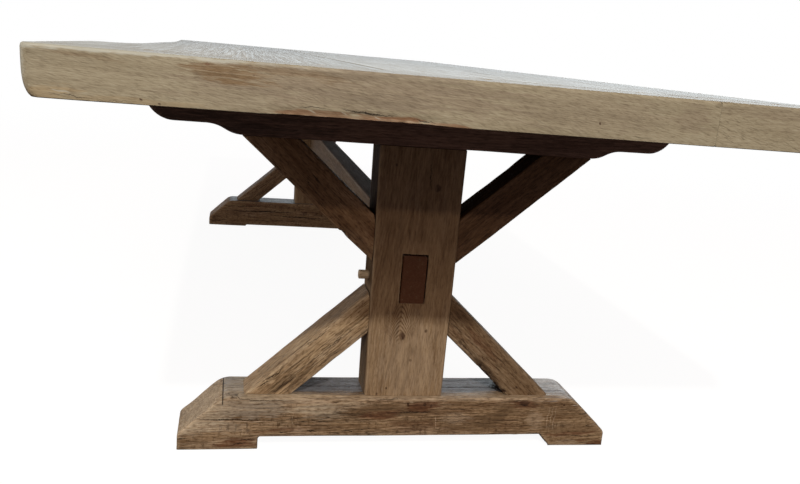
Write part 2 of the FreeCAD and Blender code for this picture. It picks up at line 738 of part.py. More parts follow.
def make_stretcher():
    """The rail between the trestles, with a shouldered tenon through each post."""
    body = new_body("stretcher", x="stretcher_middle")
    rail = new_sketch(body, "XZ_Plane", "RailOutline")
    add_rectangle(rail, "-stretcher_thickness / 2", "stretcher_thickness / 2",
                  STRETCHER_BOTTOM, STRETCHER_TOP)
    pad(body, rail, "Rail", f"{TRESTLE_SPACING} - post_depth")

    def along_rail(edge):
        return runs_along(edge, 1)

    ease_edges(body, "Chamfer", "WornArris", "arris", along_rail)

    tenon = new_sketch(body, "XZ_Plane", "TenonOutline")
    add_rectangle(tenon, "-tenon_thickness / 2", "tenon_thickness / 2",
                  TENON_BOTTOM, TENON_TOP)
    pad(body, tenon, "Tenons", f"{TRESTLE_SPACING} + post_depth")

    bores = new_sketch(body, "YZ_Plane", "PegCentres")
    for end in ENDS:
        add_circle(bores, trestle_y(end), PEG_HEIGHT,
                   "draw_peg_diameter + 2 * draw_peg_clearance")
    pocket(body, bores, "PegBores", "2 * stretcher_thickness")
    return body


def make_draw_peg(end):
    """The round peg through post and tenon: its head stands out on the left."""
    left = ("(post_left_base + (post_left_head - post_left_base) * draw_peg_level"
            " + draw_peg_head)")
    right = ("(post_right_base + (post_right_head - post_right_base) * draw_peg_level"
             " - draw_peg_inset)")
    body = new_body(f"draw_peg_{end}", x=f"({right} - {left}) / 2", y=trestle_y(end),
                    z=PEG_HEIGHT)
    section = new_sketch(body, "YZ_Plane", "Section")
    add_circle(section, "0", "0", "draw_peg_diameter")
    pad(body, section, "Peg", f"{left} + {right}")

    def round_end(edge):
        return near(edge.Length, math.pi * value("draw_peg_diameter"))

    ease_edges(body, "Fillet", "EasedEnds", "draw_peg_rounding", round_end)
    return body


# ---------------------------------------------------------------- the fixings

def make_screw(end, number, place_x):
    """A hexagon-headed coach screw, pointing up, with its head below the washer."""
    seat = f"({SCREW_SEAT} - washer_thickness)"
    head = doc.addObject("Part::Prism", f"ScrewHead_{end}_{number}")
    head.Polygon = 6
    bind(head, "Circumradius", "screw_head_width / sqrt(3)")
    bind(head, "Height", "screw_head_height")
    place(head, place_x, trestle_y(end), f"{seat} - screw_head_height")
    shank = doc.addObject("Part::Cylinder", f"ScrewShank_{end}_{number}")
    bind(shank, "Radius", "screw_diameter / 2")
    bind(shank, "Height", "screw_length - screw_tip_length")
    place(shank, place_x, trestle_y(end), seat)
    tip = doc.addObject("Part::Cone", f"ScrewTip_{end}_{number}")
    bind(tip, "Radius1", "screw_diameter / 2")
    bind(tip, "Radius2", "screw_tip_diameter / 2")
    bind(tip, "Height", "screw_tip_length")
    place(tip, place_x, trestle_y(end), f"{SCREW_TIP} - screw_tip_length")
    screw = doc.addObject("Part::MultiFuse", f"Screw_{end}_{number}")
    screw.Shapes = [head, shank, tip]
    return screw


def make_washer(end, number, place_x):
    """The washer between a screw's head and the roof of its recess."""
    disc = doc.addObject("Part::Cylinder", f"WasherDisc_{end}_{number}")
    bind(disc, "Radius", "washer_diameter / 2")
    bind(disc, "Height", "washer_thickness")
    hole = doc.addObject("Part::Cylinder", f"WasherHole_{end}_{number}")
    bind(hole, "Radius", "screw_diameter / 2 + joint_clearance")
    bind(hole, "Height", "washer_thickness")
    for item in (disc, hole):
        place(item, place_x, trestle_y(end), f"{SCREW_SEAT} - washer_thickness")
    washer = doc.addObject("Part::Cut", f"Washer_{end}_{number}")
    washer.Base = disc
    washer.Tool = hole
    return washer


def make_fixings():
    """The coach screws and washers of both trestles."""
    screws = []
    washers = []
    for end in ENDS:
        for number, place_x in enumerate(screw_places(), start=1):
            screws.append(make_screw(end, number, place_x))
            washers.append(make_washer(end, number, place_x))
    return [make_group("bearer_screws", screws), make_group("bearer_washers", washers)]


# ---------------------------------------------------------------- the whole table

def make_table():
    nodes = [make_plank(number) for number in range(1, PLANK_COUNT + 1)]
    nodes.append(make_splines())
    nodes.append(make_end_board("end_board_near_long", "near", seam(0), "end_board_seam"))
    nodes.append(make_end_board("end_board_near_short", "near", "end_board_seam",
                                seam(PLANK_COUNT)))
    nodes.append(make_end_board("end_board_far", "far", seam(0), seam(PLANK_COUNT)))
    nodes.append(make_board_pegs())
    for end in ENDS:
        nodes.append(make_foot(end))
        nodes.append(make_post(end))
        nodes.append(make_bearer(end))
        nodes.extend(make_brace(brace, end) for brace in BRACES[end])
        nodes.append(make_draw_peg(end))
    nodes.append(make_stretcher())
    nodes.extend(make_fixings())
    return nodes


def check_document():
    """Stop if any object of the document failed to build."""
    for item in doc.Objects:
        if "Invalid" in item.State or "Error" in item.State:
            raise RuntimeError(f"{item.Label} failed: {item.State}")


def export_parts(nodes):
    """Write one STEP file for each node, once every shape is known to be sound."""
    for node in nodes:
        if node.Shape.isNull() or not node.Shape.isValid():
            raise RuntimeError(f"{node.Label} has no valid shape")
    os.makedirs("parts", exist_ok=True)
    for node in nodes:
        node.Shape.exportStep(f"parts/{node.Label}.step")
        solids = len(node.Shape.Solids)
        print(f"{node.Label}: {solids} solid(s), {node.Shape.Volume / 1e6:.3f} litres")


table = make_table()
doc.recompute()
check_document()
export_parts(table)
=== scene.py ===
"""Dresses the trestle dining table: worn reclaimed oak timbers, wooden pegs and zinc plated fixings."""

import itertools
import math
from collections import namedtuple

import bmesh
import bpy
import numpy as np
from bpy.props import FloatProperty, FloatVectorProperty, PointerProperty
from mathutils import Matrix, Vector, kdtree
from mathutils.bvhtree import BVHTree


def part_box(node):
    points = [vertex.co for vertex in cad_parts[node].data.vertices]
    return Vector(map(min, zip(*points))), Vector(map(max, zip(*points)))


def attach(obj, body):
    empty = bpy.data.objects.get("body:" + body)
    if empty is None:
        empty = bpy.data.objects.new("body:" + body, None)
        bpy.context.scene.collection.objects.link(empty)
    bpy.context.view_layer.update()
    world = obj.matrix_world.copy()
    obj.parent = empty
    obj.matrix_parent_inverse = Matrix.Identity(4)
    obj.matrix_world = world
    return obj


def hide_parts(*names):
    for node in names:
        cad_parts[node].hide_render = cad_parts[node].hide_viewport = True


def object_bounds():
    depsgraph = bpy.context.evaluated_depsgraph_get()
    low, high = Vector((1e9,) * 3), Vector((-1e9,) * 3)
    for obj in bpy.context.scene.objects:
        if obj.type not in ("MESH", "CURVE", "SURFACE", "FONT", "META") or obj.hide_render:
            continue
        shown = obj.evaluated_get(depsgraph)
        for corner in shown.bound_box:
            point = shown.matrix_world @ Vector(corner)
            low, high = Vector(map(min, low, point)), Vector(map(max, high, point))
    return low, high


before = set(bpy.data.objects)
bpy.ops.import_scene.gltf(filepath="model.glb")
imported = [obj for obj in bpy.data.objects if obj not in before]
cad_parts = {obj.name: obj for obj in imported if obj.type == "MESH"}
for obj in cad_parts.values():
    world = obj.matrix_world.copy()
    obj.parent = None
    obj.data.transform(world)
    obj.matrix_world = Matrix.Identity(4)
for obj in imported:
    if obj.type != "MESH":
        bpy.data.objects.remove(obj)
CAD_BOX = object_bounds()

bl_info = {
    "name": "Trestle table dressing",
    "version": (1, 0, 0),
    "blender": (4, 5, 0),
    "location": "3D View > Sidebar > Trestle table",
    "description": "Worn oak timbers, pegs and fixings for a long trestle dining table",
    "category": "Object",
}

# Lengths are in metres and angles in radians.
MERGE = 1e-5  # points nearer than this are one
TOUCHING = 0.0016  # timbers nearer than this touch
CHAMFER = 0.0009  # along the seams of the top
ARRIS_REACH = 0.0045  # how far the wear of an arris goes
PALE_REACH = 0.004  # how far its pale band goes
DENT_SHOWN = 0.004  # a dent this deep gets its full darkness
ARRIS_ANGLE = math.radians(28)  # an edge has an arris from here
SQUARE_ANGLE = math.radians(65)  # a corner stays crisp from here
SEAM_ANGLE = math.radians(35)  # the same on the end boards
ROUND_ANGLE = math.radians(10)  # the same on the planks
CREASE = math.radians(50)  # a sharper crease isn't shaded smooth
FAR_CELL = 1.4  # and those of the far trestle, over the near one's
BEARER_CELL = 1.3  # and those of the bearers
STRETCHER_CELL = 1.1  # and those of the stretcher
LEAST_WEIGHT = 0.002  # lighter vertices are left out of a group

# Where the table's own parts are, taken from the nodes.
TABLE_LOW, TABLE_HIGH = (Vector(corner) for corner in CAD_BOX)
LEFT_SIDE, NEAR_END = TABLE_LOW.xy
SURFACE = TABLE_HIGH.z
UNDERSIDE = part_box("end_board_near_long")[0].z
JOINT_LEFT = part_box("end_board_near_long")[1].x
JOINT_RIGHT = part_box("end_board_near_short")[0].x
FOOT_LOW, FOOT_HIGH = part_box("foot_near")
FOOT_FACE = FOOT_LOW.y
POST_LEFT, POST_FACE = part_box("post_near")[0].xy
BRACE_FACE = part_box("brace_lower_left_near")[0].y
NEAR_MIDDLE = (FOOT_LOW.y + FOOT_HIGH.y) / 2
FAR_MIDDLE = sum(corner.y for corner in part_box("post_far")) / 2


def colour(name, description, default):
    return FloatVectorProperty(
        name=name, description=description, default=default, subtype="COLOR", size=3, min=0, max=1
    )


def length(name, description, default, high):
    return FloatProperty(
        name=name, description=description, default=default, min=0, max=high, unit="LENGTH", precision=4
    )


def power(name, description, default):
    return FloatProperty(name=name, description=description, default=default, min=0, unit="POWER")


def elevation(name, description, degrees):
    return FloatProperty(
        name=name, description=description, default=math.radians(degrees), subtype="ANGLE"
    )


class TableWear(bpy.types.PropertyGroup):
    trestle_cell: length("Trestle cell", "Size of the mesh cells on the trestles", 0.0030, 0.02)
    top_cell: length("Top cell", "Size of the mesh cells on the planks", 0.0075, 0.02)
    edge_cell: length("End board cell", "Size of the mesh cells on the near end boards", 0.0032, 0.02)
    peg_cell: length("Peg cell", "Size of the mesh cells on the draw pegs", 0.0014, 0.02)
    hollow: length("Hollows", "Depth of the broad hollows in the faces", 0.0016, 0.01)
    chip: length("Chips", "Depth of the chips along the arrises", 0.0034, 0.01)
    furrow: length("Furrows", "Depth of the furrows along the grain", 0.0007, 0.005)


class TableOak(bpy.types.PropertyGroup):
    ring: length("Growth ring", "Width of one growth ring", 0.0046, 0.02)
    top_pale: colour("Top, pale wood", "Pale wood of the end boards and planks", (0.336, 0.303, 0.217))
    top_grain: colour("Top, grain", "Grain of the end boards and planks", (0.222, 0.190, 0.124))
    trestle_pale: colour("Trestle, pale wood", "Pale wood of the trestles", (0.308, 0.217, 0.127))
    trestle_grain: colour("Trestle, grain", "Grain of the trestles", (0.122, 0.066, 0.028))
    bearer_pale: colour("Bearer, pale wood", "Pale wood of the bearers", (0.27, 0.165, 0.125))
    bearer_grain: colour("Bearer, grain", "Grain of the bearers", (0.115, 0.068, 0.050))
    stretcher_pale: colour("Stretcher, pale wood", "Pale wood of the stretcher", (0.22, 0.155, 0.095))
    stretcher_grain: colour("Stretcher, grain", "Grain of the stretcher", (0.085, 0.050, 0.027))
    tenon_pale: colour("Tenon", "Stained ends of the stretcher's tenons", (0.080, 0.029, 0.012))
    # The pegs' pale wood is lightened past real oak as painted light, so that the draw peg looks lit where it
    # sits in shade.
    peg_pale_and_painted_light: colour("Peg, pale wood", "Pale wood of the pegs", (0.86, 0.72, 0.52))
    stain: colour("Stain", "Reddish brown stains", (0.115, 0.045, 0.018))
    check: colour("Check", "Depth of the checks and splits", (0.014, 0.008, 0.005))
    # Patina of the upper faces: real grey grime, darkened and tinted blue as painted shade and a painted
    # reflection of the cool light
    patina: colour("Patina", "Grey patina of the upper faces", (0.160, 0.169, 0.192))
    zinc: colour("Zinc", "Zinc plating of the screws and washers", (0.55, 0.56, 0.58))


class TableStage(bpy.types.PropertyGroup):
    key: power("Key light", "Power of the key light", 225)
    key_height: elevation("Key height", "Angle of the key light above the floor", 40.6)
    second: power("Second light", "Power of the second light", 23)
    second_height: elevation("Second height", "Angle of the second light above the floor", 25.2)
    side: power("Side light", "Power of the light on the far trestle", 32)
    soft: power("Soft light", "Power of the broad light", 36)
    window: power("Window", "Power of the cool light behind", 150)
    fill: FloatProperty(name="Fill", description="Strength of the light all round", default=0.27, min=0)
    sheen: FloatProperty(name="Sheen", description="Brightness of what the top mirrors", default=1.9, min=0)
    floor: colour("Floor", "Pale floor", (0.12, 0.12, 0.119))


# ---------------------------------------------------------------- modelling


def select_only(piece):
    bpy.ops.object.select_all(action="DESELECT")
    piece.select_set(True)
    bpy.context.view_layer.objects.active = piece


def apply_modifier(piece, kind, **settings):
    modifier = piece.modifiers.new(kind.title(), kind)
    for name, value in settings.items():
        setattr(modifier, name, value)
    select_only(piece)
    bpy.ops.object.modifier_apply(modifier=modifier.name)


def merged_copy(node):
    """A new object with a merged copy of a node's mesh."""
    piece = bpy.data.objects.new(f"worn_{node}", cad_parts[node].data.copy())
    bpy.context.collection.objects.link(piece)
    piece.data.materials.clear()
    select_only(piece)
    bpy.ops.mesh.customdata_custom_splitnormals_clear()
    bpy.ops.object.mode_set(mode="EDIT")
    bpy.ops.mesh.select_all(action="SELECT")
    bpy.ops.mesh.remove_doubles(threshold=MERGE)
    bpy.ops.object.mode_set(mode="OBJECT")
    return piece


def neighbours(node):
    """Search trees of the other nodes whose boxes come near this one."""
    low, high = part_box(node)
    found = []
    for name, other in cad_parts.items():
        other_low, other_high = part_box(name)
        if name == node or any(
            other_low[i] > high[i] + TOUCHING or other_high[i] < low[i] - TOUCHING for i in range(3)
        ):
            continue
        corners = [v.co for v in other.data.vertices]
        found.append(BVHTree.FromPolygons(corners, [p.vertices for p in other.data.polygons]))
    return found


def worn_shut(point, seam):
    """Moves a point on the chamfer of a seam out to the square corner, so that the seam hardly shows."""
    if abs(point.x - seam) > CHAMFER:
        return point
    return Vector((
        seam,
        NEAR_END if point.y < NEAR_END + CHAMFER else point.y,
        SURFACE if point.z > SURFACE - CHAMFER else point.z,
    ))


def sharp_points(mesh, node, step, crisp, seam):
    """Points along a mesh's sharp edges: those that no other timber touches, and those at crisp corners."""
    others = neighbours(node)
    shape = bmesh.new()
    shape.from_mesh(mesh)
    free, square = [], []
    for edge in shape.edges:
        angle = edge.calc_face_angle_signed(0) if len(edge.link_faces) == 2 else 0
        if angle < min(ARRIS_ANGLE, crisp):
            continue
        start, end = (v.co for v in edge.verts)
        steps = max(1, math.ceil(edge.calc_length() / step))
        points = [start.lerp(end, i / steps) for i in range(steps + 1)]
        free += points
        if angle > crisp:
            square += points
    shape.free()
    if seam is not None:
        square = [worn_shut(p, seam) for p in square]
    free = [p for p in free if all(other.find_nearest(p, TOUCHING)[0] is None for other in others)]
    return free, square


def distances(places, points):
    """How far each place is from the nearest point."""
    tree = kdtree.KDTree(len(points))
    for i, point in enumerate(points):
        tree.insert(point, i)
    tree.balance()
    return np.array([tree.find(place)[2] or 1.0 for place in places])


def square_up(piece, corners, reach):
    """Draws the vertices that lie beside a square corner onto it."""
    mesh = bpy.data.meshes.new("corner_guide")
    mesh.from_pydata(corners, [], [])
    guide = bpy.data.objects.new("corner_guide", mesh)
    bpy.context.collection.objects.link(guide)
    weigh(piece, "corner", (distances(vertex_rows(piece.data, "co"), corners) < reach).astype(float))
    apply_modifier(piece, "SHRINKWRAP", target=guide, wrap_method="NEAREST_VERTEX", vertex_group="corner")
    piece.vertex_groups.clear()
    bpy.data.objects.remove(guide)
    bpy.data.meshes.remove(mesh)


def vertex_rows(mesh, what):
    """The place ("co") or the normal of each vertex, one row each."""
    rows = np.empty(len(mesh.vertices) * 3, np.float32)
    mesh.vertices.foreach_get(what, rows)
    return rows.reshape(-1, 3).astype(float)


def lumps(places, size, seed):
    """Smooth noise from 0 to 1 at each place. Size is how wide one lump is along x, y and z."""
    cells = places / np.asarray(size) + 37.7 * seed
    corner = np.floor(cells).astype(np.int64)
    part = cells - corner
    part = part * part * (3 - 2 * part)
    total = np.zeros(len(places))
    for step in itertools.product((0, 1), repeat=3):
        mixed = ((corner + step) * (73856093, 19349663, 83492791)).sum(1)
        mixed = (mixed ^ (mixed >> 13)) * 1274126177
        mixed = (mixed ^ (mixed >> 16)) & 0xFFFFFF
        total += np.prod(np.where(step, part, 1 - part), axis=1) * mixed / 0xFFFFFF
    return total


def ramp(values, start, end):
    """Smooth step from 0 at start to 1 at end."""
    share = np.clip((values - start) / (end - start), 0, 1)
    return share * share * (3 - 2 * share)


def weigh(piece, name, weights):
    """Puts each vertex into a group with its own weight."""
    group = piece.vertex_groups.new(name=name)
    for i in np.flatnonzero(weights > LEAST_WEIGHT):
        group.add((int(i),), float(weights[i]), "REPLACE")


def press_in(piece, depths, direction="NORMAL"):
    """Moves each vertex inwards by its own depth, or along an axis."""
    deepest = float(depths.max())
    if deepest <= 0:
        return
    weigh(piece, "press", depths / deepest)
    strength = -deepest if direction == "NORMAL" else deepest
    apply_modifier(
        piece, "DISPLACE", strength=strength, mid_level=0, vertex_group="press", direction=direction
    )
    piece.vertex_groups.remove(piece.vertex_groups["press"])


def keep(piece, name, values):
    """Keeps a value from 0 to 1 at each vertex, for the finish to read."""
    attribute = piece.data.attributes.new(name, "FLOAT", "POINT")
    attribute.data.foreach_set("value", np.clip(values, 0, 1).astype(np.float32))


Dent = namedtuple("Dent", "centre radii depth")


def dent_depths(places, dents, seed):
    """How deep the dents are at each place, with ragged borders."""
    depths = np.zeros(len(places))
    for centre, radii, depth in dents:
        away = np.linalg.norm((places - centre) / radii, axis=1)
        away += 0.7 * (lumps(places, 0.011, seed + 3) - 0.5)
        depths = np.maximum(depths, depth * ramp(away, 1, 0.35))
    return depths


def fine_mesh(node, cell, crisp, seam):
    """A copy of a timber in even cells with crisp corners, and the points along its free arrises."""
    piece = merged_copy(node)
    free, square = sharp_points(piece.data, node, cell / 3, crisp, seam)
    apply_modifier(piece, "REMESH", mode="VOXEL", voxel_size=cell, use_smooth_shade=True)
    apply_modifier(
        piece, "SHRINKWRAP", target=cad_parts[node], wrap_method="NEAREST_SURFACEPOINT"
    )
    if square:
        square_up(piece, square, 0.55 * cell)
    return piece, free


def worn_timber(
    node, cell, along, seed, arris=1, hollows=1, chips=1, dents=(), field=None, crisp=SQUARE_ANGLE, seam=None
):
    """A timber with its arrises rubbed away, its faces hollowed and its dents pressed in."""
    wear = bpy.context.scene.table_wear
    piece, free = fine_mesh(node, cell, crisp, seam)
    places = vertex_rows(piece.data, "co")
    away = distances(places, free)
    stretch = 1 + 5 * np.abs(np.asarray(along))

    def patches(size, number):
        return lumps(places, size * stretch, seed + number)

    worn = 0.75 * patches(0.045, 0) + 0.25 * patches(0.014, 1)
    near = np.exp(-((away / ARRIS_REACH) ** 2))
    rubbing = np.clip(near * (0.35 + 0.9 * worn) * arris, 0, 1)
    if rubbing.max() > LEAST_WEIGHT:
        weigh(piece, "arris", rubbing)
        apply_modifier(piece, "SMOOTH", factor=0.5, iterations=3, vertex_group="arris")
        piece.vertex_groups.clear()
    chipped = np.exp(-((away / (0.004 + 0.006 * worn)) ** 2)) * ramp(worn, 0.42, 0.8)
    chipped *= 0.4 + 0.6 * patches(0.010, 2)
    hollow = 0.6 * patches(0.05, 4) + 0.4 * patches(0.022, 5)
    dented = dent_depths(places, dents, seed)
    depths = (
        wear.chip * chips * chipped
        + wear.hollow * hollows * ramp(hollow, 0.35, 0.85)
        + wear.furrow * hollows * patches(0.0075, 6)
        + dented
    )
    if field:
        depths = depths + field(places, vertex_rows(piece.data, "normal"))
    press_in(piece, depths)
    if places[:, 0].min() < LEFT_SIDE + TOUCHING:
        press_in(piece, leaning_side(places), "X")
    keep(piece, "rubbed", np.exp(-((away / PALE_REACH) ** 2)) * (0.35 + 0.65 * worn))
    keep(piece, "hollow", dented / DENT_SHOWN)
    select_only(piece)
    bpy.ops.object.shade_smooth_by_angle(angle=CREASE)
    return piece


def finish(piece, node, material, body="table"):
    """Gives a piece its material, its body and the node it stands for."""
    piece.data.materials.clear()
    piece.data.materials.append(material)
    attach(piece, body)
    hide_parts(node)


def finish_node(node, material):
    """Gives a node that stays its material."""
    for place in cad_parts[node].material_slots:
        place.material = material


# ---------------------------------------------------------------- finishes

Mark = namedtuple("Mark", "kind centre radii turn strength")

# Noise drawn out along the grain: patches per metre lengthwise and across, number, detail, roughness.
Grain = namedtuple("Grain", "lengthwise across number detail roughness", defaults=(3.0, 0.55))
BEND = Grain(1.3, 8, 0, 2)
WAVER = Grain(2, 30, 1, 2)
FIBRE = Grain(16, 300, 2, 3, 0.75)
BROAD = Grain(5, 65, 3, 5, 0.7)
BLOTCH = Grain(2.6, 11, 4, 4, 0.6)
SPLIT = Grain(4.5, 75, 7, 3, 0.6)
SPLIT_PLACES = Grain(5, 20, 8, 2)
PORES = Grain(26, 620, 11, 1)
BLEACHED = Grain(5, 26, 12, 5, 0.7)
TORN = Grain(12, 220, 13, 5, 0.72)
FRAY = Grain(14, 150, 14, 4, 0.75)
TEAR = Grain(7, 230, 16, 3, 0.6)

# What a colour of the wood is multiplied by.
BLEACH_HUE = (1.12, 1.2, 1.38)
SILVER_HUE = (0.62, 0.66, 0.68)
DARK_FLECK_HUE = (0.50, 0.45, 0.40)
PALE_FLECK_HUE = (1.26, 1.33, 1.42)

# Marks that lie evenly on the wood, among them the painted rim highlight, and how much less the wood is
# flecked under some, among them the painted shade on the sides.
EVEN_MARKS = {"tenon", "rim"}
UNFLECKED = {"tenon": 1.0, "rim": 0.8, "side": 0.8}


def tinted(hue, tint):
    """A colour times a number, or times another colour."""
    return [min(1, part * share) for part, share in zip(hue, np.broadcast_to(tint, 3).tolist())]


class Wiring:
    """Nodes being wired up in a node tree."""

    def __init__(self, tree):
        self.tree = tree

    def node(self, kind, **settings):
        made = self.tree.nodes.new(kind)
        for name, value in settings.items():
            setattr(made, name, value)
        return made

    def feed(self, socket, value):
        if isinstance(value, bpy.types.NodeSocket):
            self.tree.links.new(value, socket)
        else:
            socket.default_value = value

    def math(self, operation, *values, clamp=False):
        made = self.node("ShaderNodeMath", operation=operation, use_clamp=clamp)
        for socket, value in zip(made.inputs, values):
            self.feed(socket, value)
        return made.outputs[0]

    def parts(self, place):
        """The x, y and z of a place."""
        made = self.node("ShaderNodeSeparateXYZ")
        self.feed(made.inputs[0], place)
        return made.outputs[:]

    def step(self, value, start, end, low=0.0, high=1.0, curve="SMOOTHSTEP"):
        made = self.node("ShaderNodeMapRange", interpolation_type=curve)
        for socket, item in zip(made.inputs, (value, start, end, low, high)):
            self.feed(socket, item)
        return made.outputs["Result"]


class Sky(Wiring):
    """The light all round, being wired up."""

    def rise(self, value, start, end, low=0.0, high=1.0):
        return self.step(value, start, end, low, high, "LINEAR")

    def background(self, hue, strength):
        made = self.node("ShaderNodeBackground")
        self.feed(made.inputs["Color"], (*hue, 1))
        self.feed(made.inputs["Strength"], strength)
        return made.outputs[0]

    def either(self, share, first, second):
        made = self.node("ShaderNodeMixShader")
        for socket, item in zip(made.inputs, (share, first, second)):
            self.feed(socket, item)
        return made.outputs["Shader"]


class Finish(Wiring):
    """A material being wired up."""

    def __init__(self, name):
        self.material = bpy.data.materials.new(name)
        self.material.use_nodes = True
        super().__init__(self.material.node_tree)
        self.shader = self.tree.nodes["Principled BSDF"]
        self.place = self.node("ShaderNodeTexCoord").outputs["Object"]

    def set(self, name, value):
        self.feed(self.shader.inputs[name], value)

    def vector(self, operation, *values):
        made = self.node("ShaderNodeVectorMath", operation=operation)
        for socket, value in zip(made.inputs, values):
            self.feed(socket, value)
        return made.outputs["Value" if operation in {"LENGTH", "DOT_PRODUCT"} else "Vector"]

    def mix(self, share, first, second, blend="MIX"):
        made = self.node("ShaderNodeMix", data_type="RGBA", blend_type=blend)
        self.feed(made.inputs["Factor"], share)
        for socket, value in zip(made.inputs[6:8], (first, second)):
            self.feed(socket, value if isinstance(value, bpy.types.NodeSocket) else (*value, 1))
        return made.outputs[2]

    def noise(self, place, scale, seed, detail=3.0, roughness=0.55, output="Fac"):
        """Noise with its own scale along each axis, counted per metre."""
        moved = self.vector("MULTIPLY_ADD", place, scale, (seed * 1.37, seed * 2.11, seed * 0.71))
        made = self.node("ShaderNodeTexNoise")
        for name, value in {"Vector": moved, "Scale": 1.0, "Detail": detail, "Roughness": roughness}.items():
            self.feed(made.inputs[name], value)
        return made.outputs[output]

    def mapped(self, place, location, rotation, scale=(1, 1, 1)):
        made = self.node("ShaderNodeMapping", vector_type="TEXTURE")
        for socket, value in zip(made.inputs, (place, location, rotation, scale)):
            self.feed(socket, value)
        return made.outputs["Vector"]

    def attribute(self, name):
        return self.node("ShaderNodeAttribute", attribute_name=name).outputs["Fac"]

    def emboss(self, height, strength, distance):
        bump = self.node("ShaderNodeBump")
        for name, value in {"Height": height, "Strength": strength, "Distance": distance}.items():
            self.feed(bump.inputs[name], value)
        self.set("Normal", bump.outputs["Normal"])


class Oak(Finish):
    """Reclaimed oak: growth rings round a pith, fibres, stains, checks, saw marks, knots and rubbed edges."""

    # What a timber can have its own value of.
    ring = 1.0  # width of its growth rings, over the usual one
    ring_share = 0.24  # how much the rings show
    streaks = 1.0  # how much rings and fibres show
    long = 1.0  # how far the grain is drawn out
    ragged = 0.5  # torn fibres
    bleach = 0.0  # bleached patches
    stains = 0.5  # reddish brown stains
    checks = 0.5  # checks and splits
    grey = 0.0  # silvery patches
    patina = 0.0  # grey patina on what looks up, with painted shade and a painted cool reflection
    patina_from = None  # where along Y it starts
    rough = 0.62  # roughness of the surface
    polish = 0.0  # how much smoother it is where it looks up
    edge = 0.5  # how pale the rubbed arrises are
    saw = None  # saw marks: slant, strokes per metre along and across, amount
    gloss = 0.5  # specular level
    relief = 1.0  # height of the grain
    flecks = (0.6, 45, 320, 0.0)  # amount, flecks per metre along and across, slant

    def __init__(self, name, along, pith, seed, pale, grain, marks=(), **traits):
        super().__init__(name)
        for trait, value in traits.items():
            setattr(self, trait, value)
        self.seed, self.pale, self.grain = seed, pale, grain
        turn = Vector((1, 0, 0)).rotation_difference(Vector(along)).to_euler()
        self.timber = self.mapped(self.place, pith, turn)
        self.wandered = self.stray(self.place, 0.012, 22, 9, 2)
        self.jagged = self.stray(self.wandered, 0.007, 130, 15, 3, 0.7)
        self.fray = self.math("SUBTRACT", self.grainy(FRAY), 0.5)
        self.fibre = self.step(self.grainy(FIBRE), 0.34, 0.66)
        self.broad = self.step(self.grainy(BROAD), 0.36, 0.64)
        self.blotch = self.grainy(BLOTCH)
        self.pores = self.step(self.grainy(PORES), 0.60, 0.72)
        self.torn = self.torn_fibres() if self.ragged else None
        self.masks = self.mark_masks(marks)
        self.rings = self.growth_rings([mark for mark in marks if mark.kind == "eye"], along)
        self.splits = self.split_grain()
        facing = self.node("ShaderNodeNewGeometry").outputs["Normal"]
        self.upward = self.step(self.vector("DOT_PRODUCT", facing, (0, 0, 1)), 0.90, 0.985)
        tone = self.math("MULTIPLY", self.rings, self.ring_share * self.streaks)
        tone = self.math("MULTIPLY_ADD", self.fibre, 0.34 * self.streaks, tone)
        self.tone = self.math("MULTIPLY_ADD", self.broad, 0.44, tone)

    def grainy(self, grain, output="Fac"):
        scale = (grain.lengthwise / self.long, grain.across, grain.across)
        return self.noise(self.timber, scale, self.seed + grain.number, grain.detail, grain.roughness, output)

    def stray(self, place, reach, scale, number, detail, roughness=0.55):
        """The place, moved about by noise."""
        noise = self.noise(self.place, (scale,) * 3, self.seed + number, detail, roughness, "Color")
        moved = self.vector("MULTIPLY_ADD", noise, (reach,) * 3, place)
        return self.vector("SUBTRACT", moved, (reach / 2,) * 3)

    def fine_lines(self, grain, start, end):
        """Lines where the noise crosses its middle."""
        return self.step(self.math("ABSOLUTE", self.math("SUBTRACT", self.grainy(grain), 0.5)), start, end)

    def torn_fibres(self):
        torn = self.step(self.grainy(TORN), 0.56, 0.64)
        torn = self.math("MAXIMUM", torn, self.fine_lines(TEAR, 0.020, 0.004))
        torn = self.math("MULTIPLY", torn, self.step(self.blotch, 0.36, 0.60))
        return self.math("MULTIPLY", torn, self.ragged)

    def growth_rings(self, eyes, along):
        """Rings round the pith, bent by slow noise, which swell round the eyes of big knots."""
        bent = self.vector("MULTIPLY_ADD", self.grainy(BEND, "Color"), (0, 0.05, 0.05), self.timber)
        radius = self.vector("LENGTH", self.vector("MULTIPLY", bent, (0, 1, 1)))
        for kind, centre, radii, tilt, strength in eyes:
            drawn_out = [1.9 * r + 2.6 * r * abs(a) for r, a in zip(radii, along)]
            away = self.vector("LENGTH", self.mapped(self.wandered, centre, (0, tilt, 0), drawn_out))
            radius = self.math("ADD", radius, self.step(away, 2.2, 0, 0, 0.016))
        turns = self.math("DIVIDE", radius, bpy.context.scene.table_oak.ring * self.ring)
        turns = self.math("MULTIPLY_ADD", self.grainy(WAVER), 2.2, turns)
        wave = self.math("SINE", self.math("MULTIPLY", turns, math.tau))
        return self.math("POWER", self.math("MULTIPLY_ADD", wave, 0.5, 0.5), 1.6)

    def mark_masks(self, marks):
        """One mask for each kind of mark."""
        masks = {}
        for mark in marks:
            mask = self.mark_mask(*mark)
            masks[mark.kind] = self.math("MAXIMUM", masks[mark.kind], mask) if mark.kind in masks else mask
        return masks

    def mark_mask(self, kind, centre, radii, tilt, strength):
        if kind in {"check", "kerf"}:
            return self.line_mask(centre, radii, tilt, strength)
        # cuts, and the patches of painted shade on the sides, have straight borders
        if kind in {"cut", "side"}:
            return self.box_mask(centre, radii, strength, 0.7 if kind == "cut" else 1.0)
        spot = self.mapped(self.wandered, centre, (0, tilt, 0), radii)
        fraying = 0.7 if kind == "knot" else 2.2
        away = self.math("MULTIPLY_ADD", self.fray, fraying, self.vector("LENGTH", spot))
        mask = self.step(away, 1.0, 0.6, 0, strength)
        return self.math("MULTIPLY", mask, self.arches(spot)) if kind == "arch" else mask

